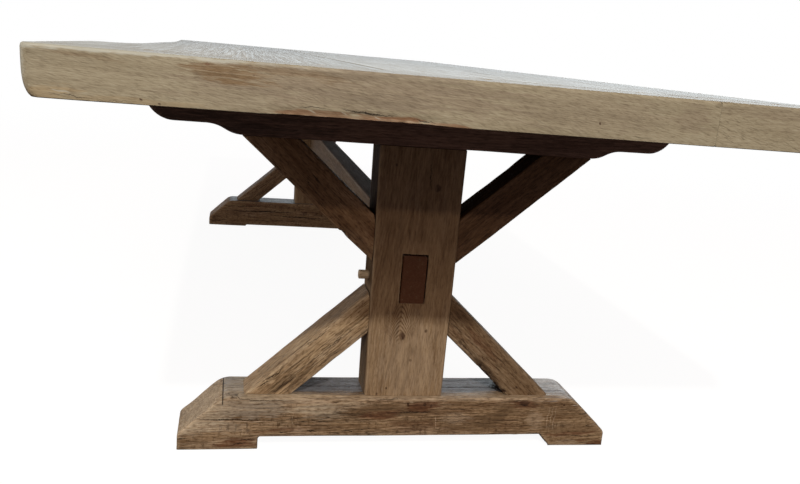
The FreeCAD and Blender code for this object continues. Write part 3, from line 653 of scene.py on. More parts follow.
    def line_mask(self, centre, radii, tilt, strength):
        """A ragged line of even width that thins out at its ends."""
        local = self.mapped(self.jagged, centre, (0, tilt, 0), radii)
        x, y, z = self.parts(self.vector("ABSOLUTE", local))
        ends = self.math("MAXIMUM", self.math("MULTIPLY_ADD", self.fray, 1.4, x), y)
        across = self.math("MULTIPLY_ADD", x, 0.6, z)
        return self.math("MULTIPLY", self.step(ends, 1.0, 0.75), self.step(across, 1.1, 0.4, 0, strength))

    def box_mask(self, centre, radii, strength, border):
        """A straight cut with clean sides, or a patch of painted shade with straight borders."""
        x, y, z = self.parts(self.vector("ABSOLUTE", self.mapped(self.place, centre, (0, 0, 0), radii)))
        return self.step(self.math("MAXIMUM", self.math("MAXIMUM", x, y), z), 1.1, border, 0, strength)

    def arches(self, spot):
        """Nested pointed arches, as the grain makes over a knot."""
        x, y, z = self.parts(spot)
        bow = self.math("MULTIPLY_ADD", self.math("POWER", self.math("ABSOLUTE", x), 1.6), 2.6, z)
        return self.step(self.math("SINE", self.math("MULTIPLY", bow, 32.0)), -0.2, 0.8)

    def split_grain(self):
        """Checks and splits that run with the grain, the marked ones, and the bottoms of dents."""
        where = self.math("MULTIPLY", self.step(self.grainy(SPLIT_PLACES), 0.56, 0.64), self.checks)
        splits = self.math("MULTIPLY", self.fine_lines(SPLIT, 0.011, 0.002), where)
        for kind in ("check", "cut"):
            if kind in self.masks:
                splits = self.math("MAXIMUM", splits, self.masks[kind])
        return self.math("MAXIMUM", splits, self.step(self.attribute("hollow"), 0.3, 1.4, 0, 0.75))

    def wired(self):
        """The finished material."""
        hues = self.weathered(self.mix(self.tone, self.pale, self.grain))
        if self.patina:
            hues = self.with_patina_shade_and_sheen(hues)
        if self.saw:
            hues = self.sawn(hues)
        hues = self.mix(self.math("MULTIPLY", self.pores, 0.35), hues, self.grain)
        rubbed = self.math("MULTIPLY", self.attribute("rubbed"), self.edge)
        hues = self.mix(rubbed, hues, tinted(self.pale, BLEACH_HUE))
        hues = self.flecked(self.marked(hues))
        self.set("Base Color", self.mix(self.splits, hues, bpy.context.scene.table_oak.check))
        self.set_gloss()
        self.set_relief()
        return self.material

    def weathered(self, hues):
        if self.bleach:
            patches = self.step(self.grainy(BLEACHED), 0.50, 0.66)
            hues = self.mix(self.math("MULTIPLY", patches, self.bleach), hues, tinted(self.pale, BLEACH_HUE))
        if self.torn is not None:
            hues = self.mix(self.torn, hues, tinted(self.grain, 0.42))
        if self.stains:
            stained = self.math("MULTIPLY", self.step(self.blotch, 0.52, 0.74), self.stains)
            stained = self.math("MULTIPLY", stained, self.step(self.fibre, -0.4, 1))
            hues = self.mix(stained, hues, bpy.context.scene.table_oak.stain)
        if self.grey:
            silver = self.math("MULTIPLY", self.step(self.blotch, 0.5, 0.32), self.grey)
            hues = self.mix(silver, hues, self.mix(1.0, hues, SILVER_HUE, "MULTIPLY"))
        return hues

    def with_patina_shade_and_sheen(self, hues):
        """A grey patina with painted shade and a painted cool reflection on what looks up, from a place along
        Y where one is given.
        """
        covered = self.math("MULTIPLY", self.upward, self.patina)
        if self.patina_from is not None:
            y = self.vector("DOT_PRODUCT", self.place, (0, 1, 0))
            border = self.step(
                self.math("MULTIPLY_ADD", self.fray, 0.05, y), self.patina_from, self.patina_from + 0.012
            )
            covered = self.math("MULTIPLY", covered, border)
        patina = bpy.context.scene.table_oak.patina
        return self.mix(covered, hues, self.mix(self.tone, tinted(patina, 1.15), tinted(patina, 0.5)))

    def sawn(self, hues):
        slant, lengthwise, across, amount = self.saw
        turned = self.mapped(self.place, (0, 0, 0), (0, slant, 0))
        strokes = self.noise(turned, (lengthwise, lengthwise, across), self.seed + 5, 2, 0.6)
        patches = self.step(self.noise(self.place, (6, 6, 20), self.seed + 6), 0.36, 0.60)
        if "sawn" in self.masks:
            patches = self.math("MAXIMUM", self.math("MULTIPLY", patches, 0.6), self.masks["sawn"])
        patches = self.math("MULTIPLY", patches, amount)
        strokes = self.math("MULTIPLY", self.step(strokes, 0.54, 0.66), patches)
        return self.mix(strokes, hues, tinted(self.grain, 0.62))

    def paints(self):
        """The colour of each kind of mark, in the order in which they lie on each other."""
        oak_colours = bpy.context.scene.table_oak
        bleached = tinted(self.pale, BLEACH_HUE)
        return {
            # a painted highlight, pale and grey, on the rounded arrises of the end board
            "rim": (0.335, 0.345, 0.30),
            "dusk": (0.215, 0.175, 0.125),
            "straw": (0.30, 0.24, 0.145),
            "grey": (0.31, 0.255, 0.19),
            "bare": (0.47, 0.385, 0.275),
            "ash": (0.55, 0.54, 0.53),
            "amber": (0.165, 0.110, 0.055),
            "bark": (0.19, 0.10, 0.05),
            "brown": (0.15, 0.092, 0.046),
            # painted shade on the sides of a timber, behind its front face
            "side": tinted(self.grain, 0.30),
            "shade": tinted(self.grain, 0.5),
            "tenon": oak_colours.tenon_pale,
            "scuff": bleached,
            "kerf": bleached,
            "stain": oak_colours.stain,
            "arch": (0.105, 0.058, 0.027),
            "eye": tinted(oak_colours.stain, 0.4),
            "knot": tinted(oak_colours.stain, 0.4),
        }

    def marked(self, hues):
        """The marks, broken up by the fibres."""
        for kind, paint in self.paints().items():
            if kind not in self.masks:
                continue
            even = kind in EVEN_MARKS
            dappled = self.mix(self.tone, tinted(paint, 1.25), tinted(paint, 1.02 if even else 0.62))
            broken = self.step(self.fibre, -1.4 if even else -0.6, 0.5 if even else 0.7)
            hues = self.mix(self.math("MULTIPLY", self.masks[kind], broken), hues, dappled)
        return hues

    def flecked(self, hues):
        """Dark and pale flecks all over, fewer where a mark lies evenly and under the painted shade on the
        sides.
        """
        amount, lengthwise, across, slant = self.flecks
        turned = self.mapped(self.timber, (0, 0, 0), (0, slant, 0))
        speck = self.noise(turned, (lengthwise, across, across), self.seed + 17, 2, 0.6)
        plain = 1.0
        for kind, share in UNFLECKED.items():
            if kind in self.masks:
                bare = self.math("MULTIPLY_ADD", self.masks[kind], -share, 1.0)
                plain = self.math("MULTIPLY", plain, bare)
        for start, end, hue in ((0.52, 0.64, DARK_FLECK_HUE), (0.46, 0.34, PALE_FLECK_HUE)):
            shown = self.math("MULTIPLY", self.step(speck, start, end, 0, amount), plain)
            hues = self.mix(shown, hues, hue, "MULTIPLY")
        return hues

    def set_gloss(self):
        roughness = self.math("MULTIPLY_ADD", self.fibre, 0.16, self.rough - 0.08)
        if self.polish:
            roughness = self.math("MULTIPLY_ADD", self.upward, -self.polish, roughness)
        self.set("Roughness", self.math("MULTIPLY_ADD", self.splits, 0.3, roughness, clamp=True))
        gloss = self.gloss
        if self.patina:
            gloss = self.math("MULTIPLY_ADD", self.upward, 0.5 - gloss, gloss)
        # the sides with painted shade lose their specular sheen too
        elif "side" in self.masks:
            gloss = self.math("MULTIPLY_ADD", self.masks["side"], -gloss, gloss)
        self.set("Specular IOR Level", gloss)

    def set_relief(self):
        """What is darker in the grain lies lower."""
        height = self.math("MULTIPLY", self.rings, -0.9 * self.ring_share)
        for layer, depth in ((self.fibre, 0.30), (self.broad, 0.35), (self.pores, 0.25), (self.torn, 0.5)):
            if layer is not None:
                height = self.math("MULTIPLY_ADD", layer, -depth, height)
        self.emboss(self.math("SUBTRACT", height, self.splits), 0.7 * self.relief, 0.0009)


def oak(name, along, pith, seed, pale, grain, marks=(), **traits):
    """A material of oak with its grain along a direction, its pith at a place, and its marks."""
    return Oak(name, along, pith, seed, pale, grain, marks, **traits).wired()


def zinc(name):
    """Zinc plating, spangled and dulled."""
    make = Finish(name)
    metal = bpy.context.scene.table_oak.zinc
    spangle = make.noise(make.place, (420, 420, 420), 3, detail=2)
    grime = make.step(make.noise(make.place, (70, 70, 70), 5, detail=4), 0.45, 0.75)
    hues = make.mix(spangle, metal, tinted(metal, 0.72))
    make.set("Base Color", make.mix(grime, hues, (0.17, 0.14, 0.11)))
    make.set("Metallic", 1.0)
    make.set("Roughness", make.math("MULTIPLY_ADD", grime, 0.35, 0.34))
    make.emboss(spangle, 0.25, 0.0002)
    return make.material


def on_face(face):
    """Makes marks on a face that looks towards -Y: kind, x, z, half width, half height, tilt, strength."""

    def mark(kind, x, z, wide, high, tilt=0.0, strength=0.9, deep=0.03):
        return Mark(kind, (x, face, z), (wide, deep, high), -math.radians(tilt), strength)

    return mark


# ---------------------------------------------------------------- operators

# The camera's lens and sensor in millimetres, its place, and its turns in order.
LENS = 36.72
SENSOR = 36
CAMERA_PLACE = (-0.3591, -2.5804, 0.7889)
CAMERA_TURNS = (("Z", -0.2139), ("X", -0.2251), ("Y", -0.0909), ("X", math.pi / 2))
CAMERA_REACH = 200

FLOOR_SIZE = 160
FLOOR_FADE = (1.5, 7)  # from here to there the floor turns into the white behind it
FLOOR_GLOW = (0.94, 1.0)
WHITE = (1, 1, 1)
BLACK = (0, 0, 0)
SOFT_HUE = (1.0, 0.75, 0.68)
SKY_HUE = (0.84, 0.94, 1.0)
WINDOW_HUE = (0.80, 0.90, 1.0)
WINDOW_SIZE = (6, 3.4)
WINDOW_PLACE = (3.1, 7.5, 1.75)


class TABLE_OT_stage(bpy.types.Operator):
    """Sets the camera, the pale floor and the soft light"""

    bl_idname = "table.stage"
    bl_label = "Stage"

    def execute(self, context):
        setup = context.scene.table_stage
        self.place_camera(context.scene)
        self.lay_floor(setup)
        self.light_all_round(context.scene, setup)
        front = Vector((0, POST_FACE, 0.3))
        far_foot = Vector((-0.25, FAR_MIDDLE, 0.1))
        # Name, what it shines on, degrees to the right of it, height, distance, size, power, hue.
        lamps = (
            ("key_light", front, -14, setup.key_height, 6.0, 0.15, setup.key, (1.0, 0.955, 0.88)),
            ("second_light", front, 4, setup.second_height, 5.0, 0.1, setup.second, (1.0, 0.76, 0.56)),
            ("side_light", far_foot, -61, math.radians(6), 3.7, 1.2, setup.side, (1.0, 0.90, 0.76)),
            ("soft_light", front, -4, math.radians(34), 5.0, 0.9, setup.soft, (1.0, 0.84, 0.68)),
        )
        for name, target, side, height, distance, size, energy, hue in lamps:
            side = math.radians(side)
            level = math.cos(height)
            towards = Vector((math.sin(side) * level, -math.cos(side) * level, math.sin(height)))
            turned = towards.to_track_quat("Z", "Y").to_matrix().to_4x4()
            place = Matrix.Translation(target + distance * towards) @ turned
            self.hang_light(name, (size, size), energy, hue, place)
        self.open_window(setup)
        return {"FINISHED"}

    def place_camera(self, scene):
        data = bpy.data.cameras.new("camera")
        data.sensor_width = SENSOR
        data.sensor_fit = "HORIZONTAL"
        data.lens = LENS
        data.clip_end = CAMERA_REACH
        camera = bpy.data.objects.new("camera", data)
        scene.collection.objects.link(camera)
        turned = Matrix.Identity(3)
        for axis, turn in CAMERA_TURNS:
            turned = turned @ Matrix.Rotation(turn, 3, axis)
        camera.matrix_world = Matrix.Translation(CAMERA_PLACE) @ turned.to_4x4()
        scene.camera = camera

    def lay_floor(self, setup):
        bpy.ops.object.select_all(action="DESELECT")
        bpy.ops.mesh.primitive_plane_add(size=FLOOR_SIZE, location=(0, 0, 0))
        floor = bpy.context.object
        floor.name = "floor"
        floor.visible_diffuse = False
        floor.visible_glossy = False
        make = Finish("pale_floor")
        away = make.vector("LENGTH", make.place)
        make.set("Base Color", make.mix(make.step(away, *FLOOR_FADE), setup.floor, BLACK))
        make.set("Roughness", 0.9)
        make.set("Specular IOR Level", 0)
        make.set("Emission Color", (*WHITE, 1))
        make.set("Emission Strength", make.step(away, *FLOOR_FADE, *FLOOR_GLOW))
        floor.data.materials.append(make.material)

    def light_all_round(self, scene, setup):
        """White behind the table for the camera, a soft fill, and a bright skyline for the top to mirror."""
        world = bpy.data.worlds.new("studio")
        world.use_nodes = True
        world.node_tree.nodes.clear()
        sky = Sky(world.node_tree)
        x, y, z = sky.parts(sky.node("ShaderNodeTexCoord").outputs["Generated"])
        ray = sky.node("ShaderNodeLightPath").outputs
        soft = sky.background(SOFT_HUE, sky.rise(z, -0.3, 0.1, 0.25 * setup.fill, setup.fill))
        skyline = sky.background(SKY_HUE, sky.rise(x, -0.15, 0.5, 0.7 * setup.sheen, 1.2 * setup.sheen))
        mirrored = sky.math("MULTIPLY", sky.rise(y, 0.3, 0.6), sky.rise(z, 0.5, 0.2))
        mirrored = sky.math("MULTIPLY", mirrored, sky.rise(z, -0.02, 0.0))
        shown = sky.either(sky.math("MULTIPLY", mirrored, ray["Is Glossy Ray"]), soft, skyline)
        shown = sky.either(ray["Is Camera Ray"], shown, sky.background(WHITE, 1.0))
        sky.feed(sky.node("ShaderNodeOutputWorld").inputs["Surface"], shown)
        scene.world = world
        scene.view_settings.view_transform = "Standard"

    def open_window(self, setup):
        place = Matrix.Translation(WINDOW_PLACE) @ Matrix.Rotation(-math.pi / 2, 4, "X")
        light = self.hang_light("window_light", WINDOW_SIZE, setup.window, WINDOW_HUE, place)
        light.visible_camera = False
        light.visible_glossy = False

    def hang_light(self, name, size, energy, hue, place):
        data = bpy.data.lights.new(name, "AREA")
        data.shape = "RECTANGLE"
        data.size, data.size_y = size
        data.energy = energy
        data.color = hue
        light = bpy.data.objects.new(name, data)
        bpy.context.collection.objects.link(light)
        light.matrix_world = place
        return light


class TABLE_OT_planks(bpy.types.Operator):
    """Makes the five planks of the top and their splines"""

    bl_idname = "table.planks"
    bl_label = "Planks"

    def execute(self, context):
        oak_colours = context.scene.table_oak
        planks = sorted(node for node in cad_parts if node.startswith("top_plank_"))
        for number, node in enumerate(planks, start=1):
            low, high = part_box(node)
            seed = 20 + 3 * number
            middle = (low + high) / 2
            piece = worn_timber(
                node, context.scene.table_wear.top_cell, (0, 1, 0), seed, arris=0.1, hollows=0.1, chips=0.05,
                field=worn_side if number == 1 else None, crisp=ROUND_ANGLE,
                seam={1: high.x, 2: low.x}.get(number),
            )
            lift = 1 + 0.10 * math.sin(2.4 * number)
            pith = (middle.x + 0.02 * math.cos(number), 0, SURFACE - 0.16)
            material = oak(
                f"oak_plank_{number}", (0.012 * math.sin(number), 1, 0.01), pith, seed,
                tinted(oak_colours.top_pale, lift), tinted(oak_colours.top_grain, lift),
                long=7, ring_share=0.12, stains=0.15, checks=0.3, grey=0.5, rough=0.55, polish=0.2, edge=0.0,
                relief=0.3, flecks=(0.1, 45, 210, 0.0),
            )
            finish(piece, node, material)
        finish_node(
            "plank_splines",
            oak("oak_splines", (0, 1, 0), (0, 0, 0.6), 51, oak_colours.top_pale, oak_colours.top_grain),
        )
        return {"FINISHED"}


def long_board_marks():
    """Stains, wane and checks on the face of the longer near end board, with a painted highlight along its
    top arris and its left corner.
    """
    mark = on_face(NEAR_END)
    return [
        mark("dusk", -0.19, 0.742, 0.26, 0.032, 0, 0.75),
        mark("dusk", -0.30, 0.722, 0.16, 0.018, 0, 0.35),
        mark("dusk", 0.10, 0.735, 0.16, 0.030, 0, 0.4),
        mark("amber", -0.368, 0.7480, 0.064, 0.0130, -2, 1.0),
        mark("amber", -0.285, 0.7535, 0.075, 0.0065, -3, 0.55),
        mark("amber", -0.525, 0.7545, 0.050, 0.004, -4, 0.45),
        mark("straw", -0.575, 0.7095, 0.040, 0.0105, 8, 0.85),
        mark("straw", -0.49, 0.7075, 0.10, 0.0055, 0, 0.6),
        mark("check", -0.545, 0.7085, 0.028, 0.0007, -2, 0.6),
        mark("check", -0.505, 0.7050, 0.030, 0.0006, 0, 0.5),
        mark("scuff", -0.555, 0.7125, 0.014, 0.0012, -8, 0.8),
        # painted highlight along the top arris and down the left corner
        mark("rim", -0.52, SURFACE + 0.0005, 0.34, 0.0070, 0, 0.9),
        Mark("rim", (LEFT_SIDE, NEAR_END, 0.735), (0.0075, 0.02, 0.05), 0, 0.4),
        mark("knot", -0.335, 0.7475, 0.0022, 0.0015, 0, 0.5),
        mark("stain", -0.393, 0.757, 0.003, 0.0022, 0, 0.6),
        mark("knot", -0.4645, 0.7098, 0.003, 0.0014, -20, 0.9),
        mark("knot", -0.445, 0.7077, 0.0018, 0.0018, 0, 0.8),
        mark("bark", -0.245, 0.706, 0.080, 0.0062, 0, 0.8),
        mark("bark", -0.165, 0.7065, 0.060, 0.0072, -1, 0.95),
        mark("bark", -0.090, 0.7045, 0.040, 0.0048, 0, 0.8),
        mark("shade", -0.185, 0.7125, 0.035, 0.0016, -2, 0.8),
        mark("check", -0.262, 0.7135, 0.020, 0.0009, -2, 0.8),
        mark("check", -0.192, 0.7135, 0.036, 0.0012, -3, 0.95),
        mark("check", -0.118, 0.7085, 0.018, 0.0009, -3, 0.8),
        mark("scuff", -0.262, 0.7085, 0.008, 0.0011, -20, 0.8),
        mark("scuff", -0.222, 0.7100, 0.007, 0.0009, -20, 0.8),
        mark("scuff", -0.180, 0.7090, 0.007, 0.0009, -18, 0.8),
        mark("knot", 0.1238, 0.7218, 0.0020, 0.0022, 0, 0.95),
        mark("shade", 0.1225, 0.7105, 0.0014, 0.0016, 0, 0.5),
        mark("dusk", 0.155, 0.735, 0.010, 0.035, 0, 0.5),
        mark("dusk", 0.262, 0.738, 0.032, 0.024, 0, 0.55),
        mark("shade", 0.292, 0.7575, 0.006, 0.0030, 0, 0.5),
        mark("shade", 0.190, 0.7085, 0.018, 0.0016, -2, 0.5),
        mark("sawn", -0.21, 0.735, 0.13, 0.030, 0, 1.0),
    ]


class TABLE_OT_end_boards(bpy.types.Operator):
    """Makes the boards across the ends of the top and their pegs"""

    bl_idname = "table.end_boards"
    bl_label = "End boards"

    def execute(self, context):
        oak_colours = context.scene.table_oak
        wear = context.scene.table_wear
        short_marks = [on_face(NEAR_END)("dusk", 0.38, 0.755, 0.10, 0.010, 0, 0.4)]
        fine, coarse = wear.edge_cell, 2 * wear.edge_cell
        # Each node: its cells, direction of the grain, pith, seed, marks, and seam to close.
        boards = {
            "end_board_near_long": (
                fine, (1, 0, -0.035), (-0.1, -1.44, 0.60), 61, long_board_marks(), JOINT_LEFT,
            ),
            "end_board_near_short": (fine, (1, 0, 0.02), (0.4, -1.46, 0.64), 67, short_marks, JOINT_RIGHT),
            "end_board_far": (coarse, (1, 0, 0.01), (0, 1.44, 0.62), 73, [], None),
        }
        for node, (cell, along, pith, seed, marks, seam) in boards.items():
            near = "near" in node
            piece = worn_timber(
                node, cell, (1, 0, 0), seed, arris=0.25, hollows=0.2, chips=0.05,
                field=wane if node == "end_board_near_long" else None, crisp=SEAM_ANGLE, seam=seam,
            )
            material = oak(
                f"oak_{node}", along, pith, seed, oak_colours.top_pale, oak_colours.top_grain, marks=marks,
                ring=0.6, ring_share=0.10, streaks=0.75, ragged=0.12, stains=0.10,
                checks=0.1 if near else 0.5, grey=0.4, rough=0.62, polish=0.25, edge=0.08,
                saw=(math.radians(24), 60, 420, 0.7), relief=0.45, flecks=(0.45, 75, 560, math.radians(10)),
            )
            finish(piece, node, material)
        # the pegs' colour carries painted light
        finish_node(
            "end_board_pegs",
            oak(
                "oak_board_pegs", (0, 0, 1), (0.003, 0, 0), 81, oak_colours.peg_pale_and_painted_light, oak_colours.top_grain,
                ring=0.5,
            ),
        )
        return {"FINISHED"}


def leaning_side(places):
    """How far the left side leans in towards its lower edge. It dies away along the plank."""
    deepest, rise = 0.0115, 0.012
    x, y, z = places.T
    fade = ramp(y, NEAR_END + 0.6, NEAR_END + 0.15) * ramp(x, LEFT_SIDE + 0.05, LEFT_SIDE)
    return fade * (deepest * np.exp((UNDERSIDE - z) / rise))


def worn_side(places, normals):
    """The upper arris of the left side is worn away in one long hollow, round the middle of the table."""
    deepest = 0.010
    x, y = places.T[:2]
    inwards = ramp(x, LEFT_SIDE + 0.075, LEFT_SIDE)
    stretch = ramp(y, -1.15, -0.35) * ramp(y, 1.35, 0.85)
    return deepest * inwards * stretch * ramp(normals[:, 2], 0.1, 0.6)


def wane(places, normals):
    """Wane along the lower edge of the near face, where the bark side was left on."""
    deepest = 0.0024
    x, y, z = places.T
    ragged = lumps(places, (0.020, 0.02, 0.006), 5)
    reach = ramp(x, -0.325, -0.285) * ramp(x, -0.065, -0.12)
    band = ramp(z, UNDERSIDE + 0.0105 + 0.004 * ragged, UNDERSIDE + 0.007)
    front = ramp(y, NEAR_END + 0.03, NEAR_END + 0.012)
    rough = 0.5 + 0.5 * lumps(places, (0.009, 0.009, 0.004), 6)
    return deepest * reach * band * front * rough


def near_foot_marks():
    """Checks, stains, saw marks and bare patches on the near foot."""
    mark = on_face(FOOT_FACE)
    return [
        Mark("cut", (-0.355, NEAR_MIDDLE, 0.108), (0.0012, 0.075, 0.013), 0, 0.95),
        Mark("bare", (-0.43, NEAR_MIDDLE, 0.085), (0.115, 0.16, 0.075), 0, 0.85),
        Mark("bare", (-0.31, NEAR_MIDDLE, 0.115), (0.085, 0.16, 0.016), 0, 0.8),
        Mark("bare", (-0.24, FOOT_FACE + 0.004, 0.112), (0.15, 0.026, 0.010), 0, 0.7),
        Mark("scuff", (0.05, FOOT_FACE + 0.004, 0.112), (0.42, 0.022, 0.008), 0, 0.75),
        Mark("ash", (0.395, NEAR_MIDDLE + 0.030, 0.112), (0.13, 0.098, 0.030), 0, 0.95),
        Mark("ash", (0.445, NEAR_MIDDLE + 0.025, 0.075), (0.045, 0.088, 0.065), -math.radians(40), 0.8),
        Mark("check", (-0.165, NEAR_MIDDLE + 0.004, 0.111), (0.13, 0.0018, 0.03), 0, 0.85),
        Mark("check", (-0.130, NEAR_MIDDLE - 0.026, 0.111), (0.08, 0.0012, 0.03), 0, 0.7),
        Mark("check", (0.140, NEAR_MIDDLE + 0.002, 0.111), (0.12, 0.0020, 0.03), 0, 0.9),
        Mark("check", (0.110, NEAR_MIDDLE + 0.034, 0.111), (0.05, 0.0016, 0.03), 0, 0.7),
        mark("bare", -0.10, 0.095, 0.060, 0.010, 0, 0.45),
        mark("grey", -0.3034, 0.0860, 0.100, 0.022, 2, 0.95),
        mark("grey", -0.36, 0.050, 0.070, 0.016, 0, 0.5),
        mark("sawn", -0.3235, 0.0524, 0.110, 0.015, 0, 0.9),
        mark("sawn", 0.0333, 0.0560, 0.110, 0.022, 0, 0.8),
        mark("check", -0.2900, 0.1070, 0.072, 0.0010, -3, 0.75),
        mark("scuff", -0.335, 0.0612, 0.085, 0.0017, 0, 0.85),
        mark("bare", -0.165, 0.0850, 0.068, 0.0200, 0, 0.85),
        mark("check", -0.3444, 0.0653, 0.066, 0.0012, 0, 0.95),
        mark("check", -0.2400, 0.0645, 0.055, 0.0009, 1, 0.6),
        mark("stain", -0.3315, 0.0155, 0.060, 0.011, 4, 0.9),
        mark("check", -0.3218, 0.0135, 0.018, 0.0014, 12, 0.9),
        mark("check", -0.3028, 0.0236, 0.016, 0.0012, 6, 0.9),
        mark("check", -0.4321, 0.0261, 0.014, 0.0014, 0, 0.9),
        mark("stain", -0.2401, 0.0425, 0.060, 0.0042, 2, 0.7),
        mark("check", -0.2373, 0.0371, 0.010, 0.0014, 0, 0.9),
        mark("check", -0.1803, 0.0402, 0.010, 0.0014, 0, 0.9),
        mark("scuff", -0.2078, 0.0423, 0.018, 0.0055, 0, 0.9),
        mark("kerf", -0.2164, 0.0613, 0.019, 0.0014, 90, 1.0),
        mark("kerf", -0.3156, 0.0390, 0.010, 0.0014, 90, 0.9),
        mark("scuff", -0.1781, 0.1034, 0.045, 0.0060, -2, 0.9),
        mark("shade", -0.1150, 0.0740, 0.075, 0.0080, 2, 0.55),
        mark("check", -0.1192, 0.0690, 0.032, 0.0012, 1, 0.9),
        mark("stain", -0.0350, 0.0740, 0.050, 0.0130, 4, 0.8),
        mark("check", -0.0254, 0.1075, 0.024, 0.0010, 0, 0.8),
        mark("stain", 0.0428, 0.0930, 0.045, 0.0150, 0, 0.85),
        mark("scuff", 0.0195, 0.1053, 0.008, 0.0030, -30, 0.9),
        mark("knot", 0.0500, 0.0985, 0.0040, 0.0050, 15, 0.9),
        mark("knot", 0.0640, 0.0930, 0.0030, 0.0040, -10, 0.8),
        mark("knot", 0.0140, 0.0985, 0.0035, 0.0050, 15, 0.9),
        mark("check", 0.0310, 0.0805, 0.065, 0.0011, 1, 0.85),
        mark("check", 0.1300, 0.0870, 0.050, 0.0009, 2, 0.7),
        mark("stain", 0.0333, 0.0500, 0.060, 0.0140, 0, 0.35),
        mark("kerf", 0.0771, 0.0558, 0.019, 0.0014, 90, 1.0),
        mark("scuff", 0.1203, 0.0655, 0.036, 0.0150, 6, 0.55),
        mark("check", 0.1203, 0.0600, 0.030, 0.0009, 14, 0.7),
        mark("check", 0.1300, 0.0750, 0.022, 0.0008, -16, 0.6),
        mark("brown", 0.2080, 0.0740, 0.085, 0.0190, 34, 1.0),
        mark("brown", 0.1600, 0.0480, 0.085, 0.0120, 8, 0.9),
        mark("brown", -0.0200, 0.0850, 0.110, 0.0180, 0, 0.9),
        mark("brown", 0.0650, 0.0560, 0.090, 0.0170, 0, 0.7),
        mark("brown", 0.4000, 0.0450, 0.080, 0.0160, 0, 0.4),
        mark("eye", 0.2660, 0.1020, 0.0130, 0.0070, 0, 0.9),
        mark("stain", 0.2660, 0.0985, 0.034, 0.0120, 0, 0.7),
        mark("check", 0.2667, 0.0960, 0.022, 0.0010, -3, 0.9),
        mark("check", 0.2500, 0.1060, 0.012, 0.0010, 20, 0.9),
        mark("scuff", 0.2950, 0.0640, 0.020, 0.0300, 0, 0.6),
        mark("kerf", 0.3219, 0.0650, 0.030, 0.0013, 91, 0.9),
        mark("kerf", 0.3290, 0.0650, 0.034, 0.0011, 90, 0.8),
        mark("kerf", 0.3370, 0.0650, 0.030, 0.0012, 92, 0.9),
        mark("knot", 0.3537, 0.0949, 0.0030, 0.0028, 0, 0.9),
        mark("stain", 0.3750, 0.0290, 0.060, 0.0045, 3, 0.75),
        mark("check", 0.3960, 0.0245, 0.050, 0.0010, -1, 0.9),
        mark("stain", 0.4063, 0.0140, 0.018, 0.0035, 0, 0.7),
        mark("stain", 0.4400, 0.0060, 0.024, 0.0090, 0, 0.9),
        mark("scuff", 0.3700, 0.0110, 0.030, 0.0060, 0, 0.6),
        mark("check", 0.3000, 0.0300, 0.026, 0.0012, -10, 0.8),
    ]


class TABLE_OT_feet(bpy.types.Operator):
    """Makes the two shaped feet"""

    bl_idname = "table.feet"
    bl_label = "Feet"

    def execute(self, context):
        oak_colours = context.scene.table_oak
        cell = context.scene.table_wear.trestle_cell
        # Each node: direction of the grain, pith, seed, marks, stains.
        looks = {
            "foot_near": ((1, 0, 0.02), (0, NEAR_MIDDLE + 0.05, -0.03), 101, near_foot_marks(), 0.45),
            "foot_far": ((1, 0, -0.03), (0, FAR_MIDDLE + 0.03, 0.16), 113, far_foot_marks(), 0.8),
        }
        for node, (along, pith, seed, made, stains) in looks.items():
            near = node == "foot_near"
            piece = worn_timber(
                node, cell if near else FAR_CELL * cell, (1, 0, 0), seed, arris=0.6, hollows=0.35, chips=0.4,
                field=rubbed_foot if near else None,
            )
            # the upper faces of the feet get the patina, with its painted shade and painted cool reflection
            material = oak(
                f"oak_{node}", along, pith, seed, tinted(oak_colours.trestle_pale, 1.22),
                oak_colours.trestle_grain, marks=made, stains=stains, checks=0.9, grey=0.3, patina=0.9,
                patina_from=FOOT_FACE + 0.028 if near else None, polish=0.2, edge=0.6, ragged=0.85,
                bleach=0.6, saw=(0, 170, 55, 1.0), relief=1.3, flecks=(0.8, 85, 330, 0.0), gloss=0.3,
            )
            finish(piece, node, material)
        return {"FINISHED"}


def far_foot_marks():
    """Long checks and a knot on the far foot."""
    mark = on_face(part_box("foot_far")[0].y)
    return [
        mark("check", -0.22, 0.068, 0.16, 0.0035, 1, 0.95),
        mark("check", -0.05, 0.050, 0.14, 0.0030, -2, 0.95),
        mark("check", -0.30, 0.088, 0.10, 0.0022, 1, 0.9),
        mark("check", -0.15, 0.030, 0.12, 0.0022, 1, 0.8),
        mark("knot", -0.028, 0.067, 0.014, 0.009, 0, 0.95),
    ]


def rubbed_foot(places, normals):
    """The front top arris is rubbed away in long shallow scoops, and the underside waves."""
    x, y, z = places.T
    front = ramp(y, FOOT_FACE + 0.018, FOOT_FACE + 0.004)
    upper = ramp(z, FOOT_HIGH.z - 0.014, FOOT_HIGH.z - 0.004)
    scoops = 0.35 + 0.65 * lumps(places, (0.09, 0.2, 0.2), 8)
    left = ramp(x, -0.30, -0.24) * ramp(x, 0.02, -0.04)
    under = ramp(-normals[:, 2], 0.6, 0.9) * ramp(z, 0.045, 0.03) * ramp(z, 0.008, 0.018)
    heel, heel_width = 0.254, 0.016
    bump = np.exp(-(((x - heel) / heel_width) ** 2))
    waves = 0.0022 * lumps(places, (0.05, 0.2, 0.2), 9) + 0.0006
    deepest = 0.0030
    return deepest * front * upper * scoops * (0.35 + 0.8 * left) + under * waves * (1 - bump)


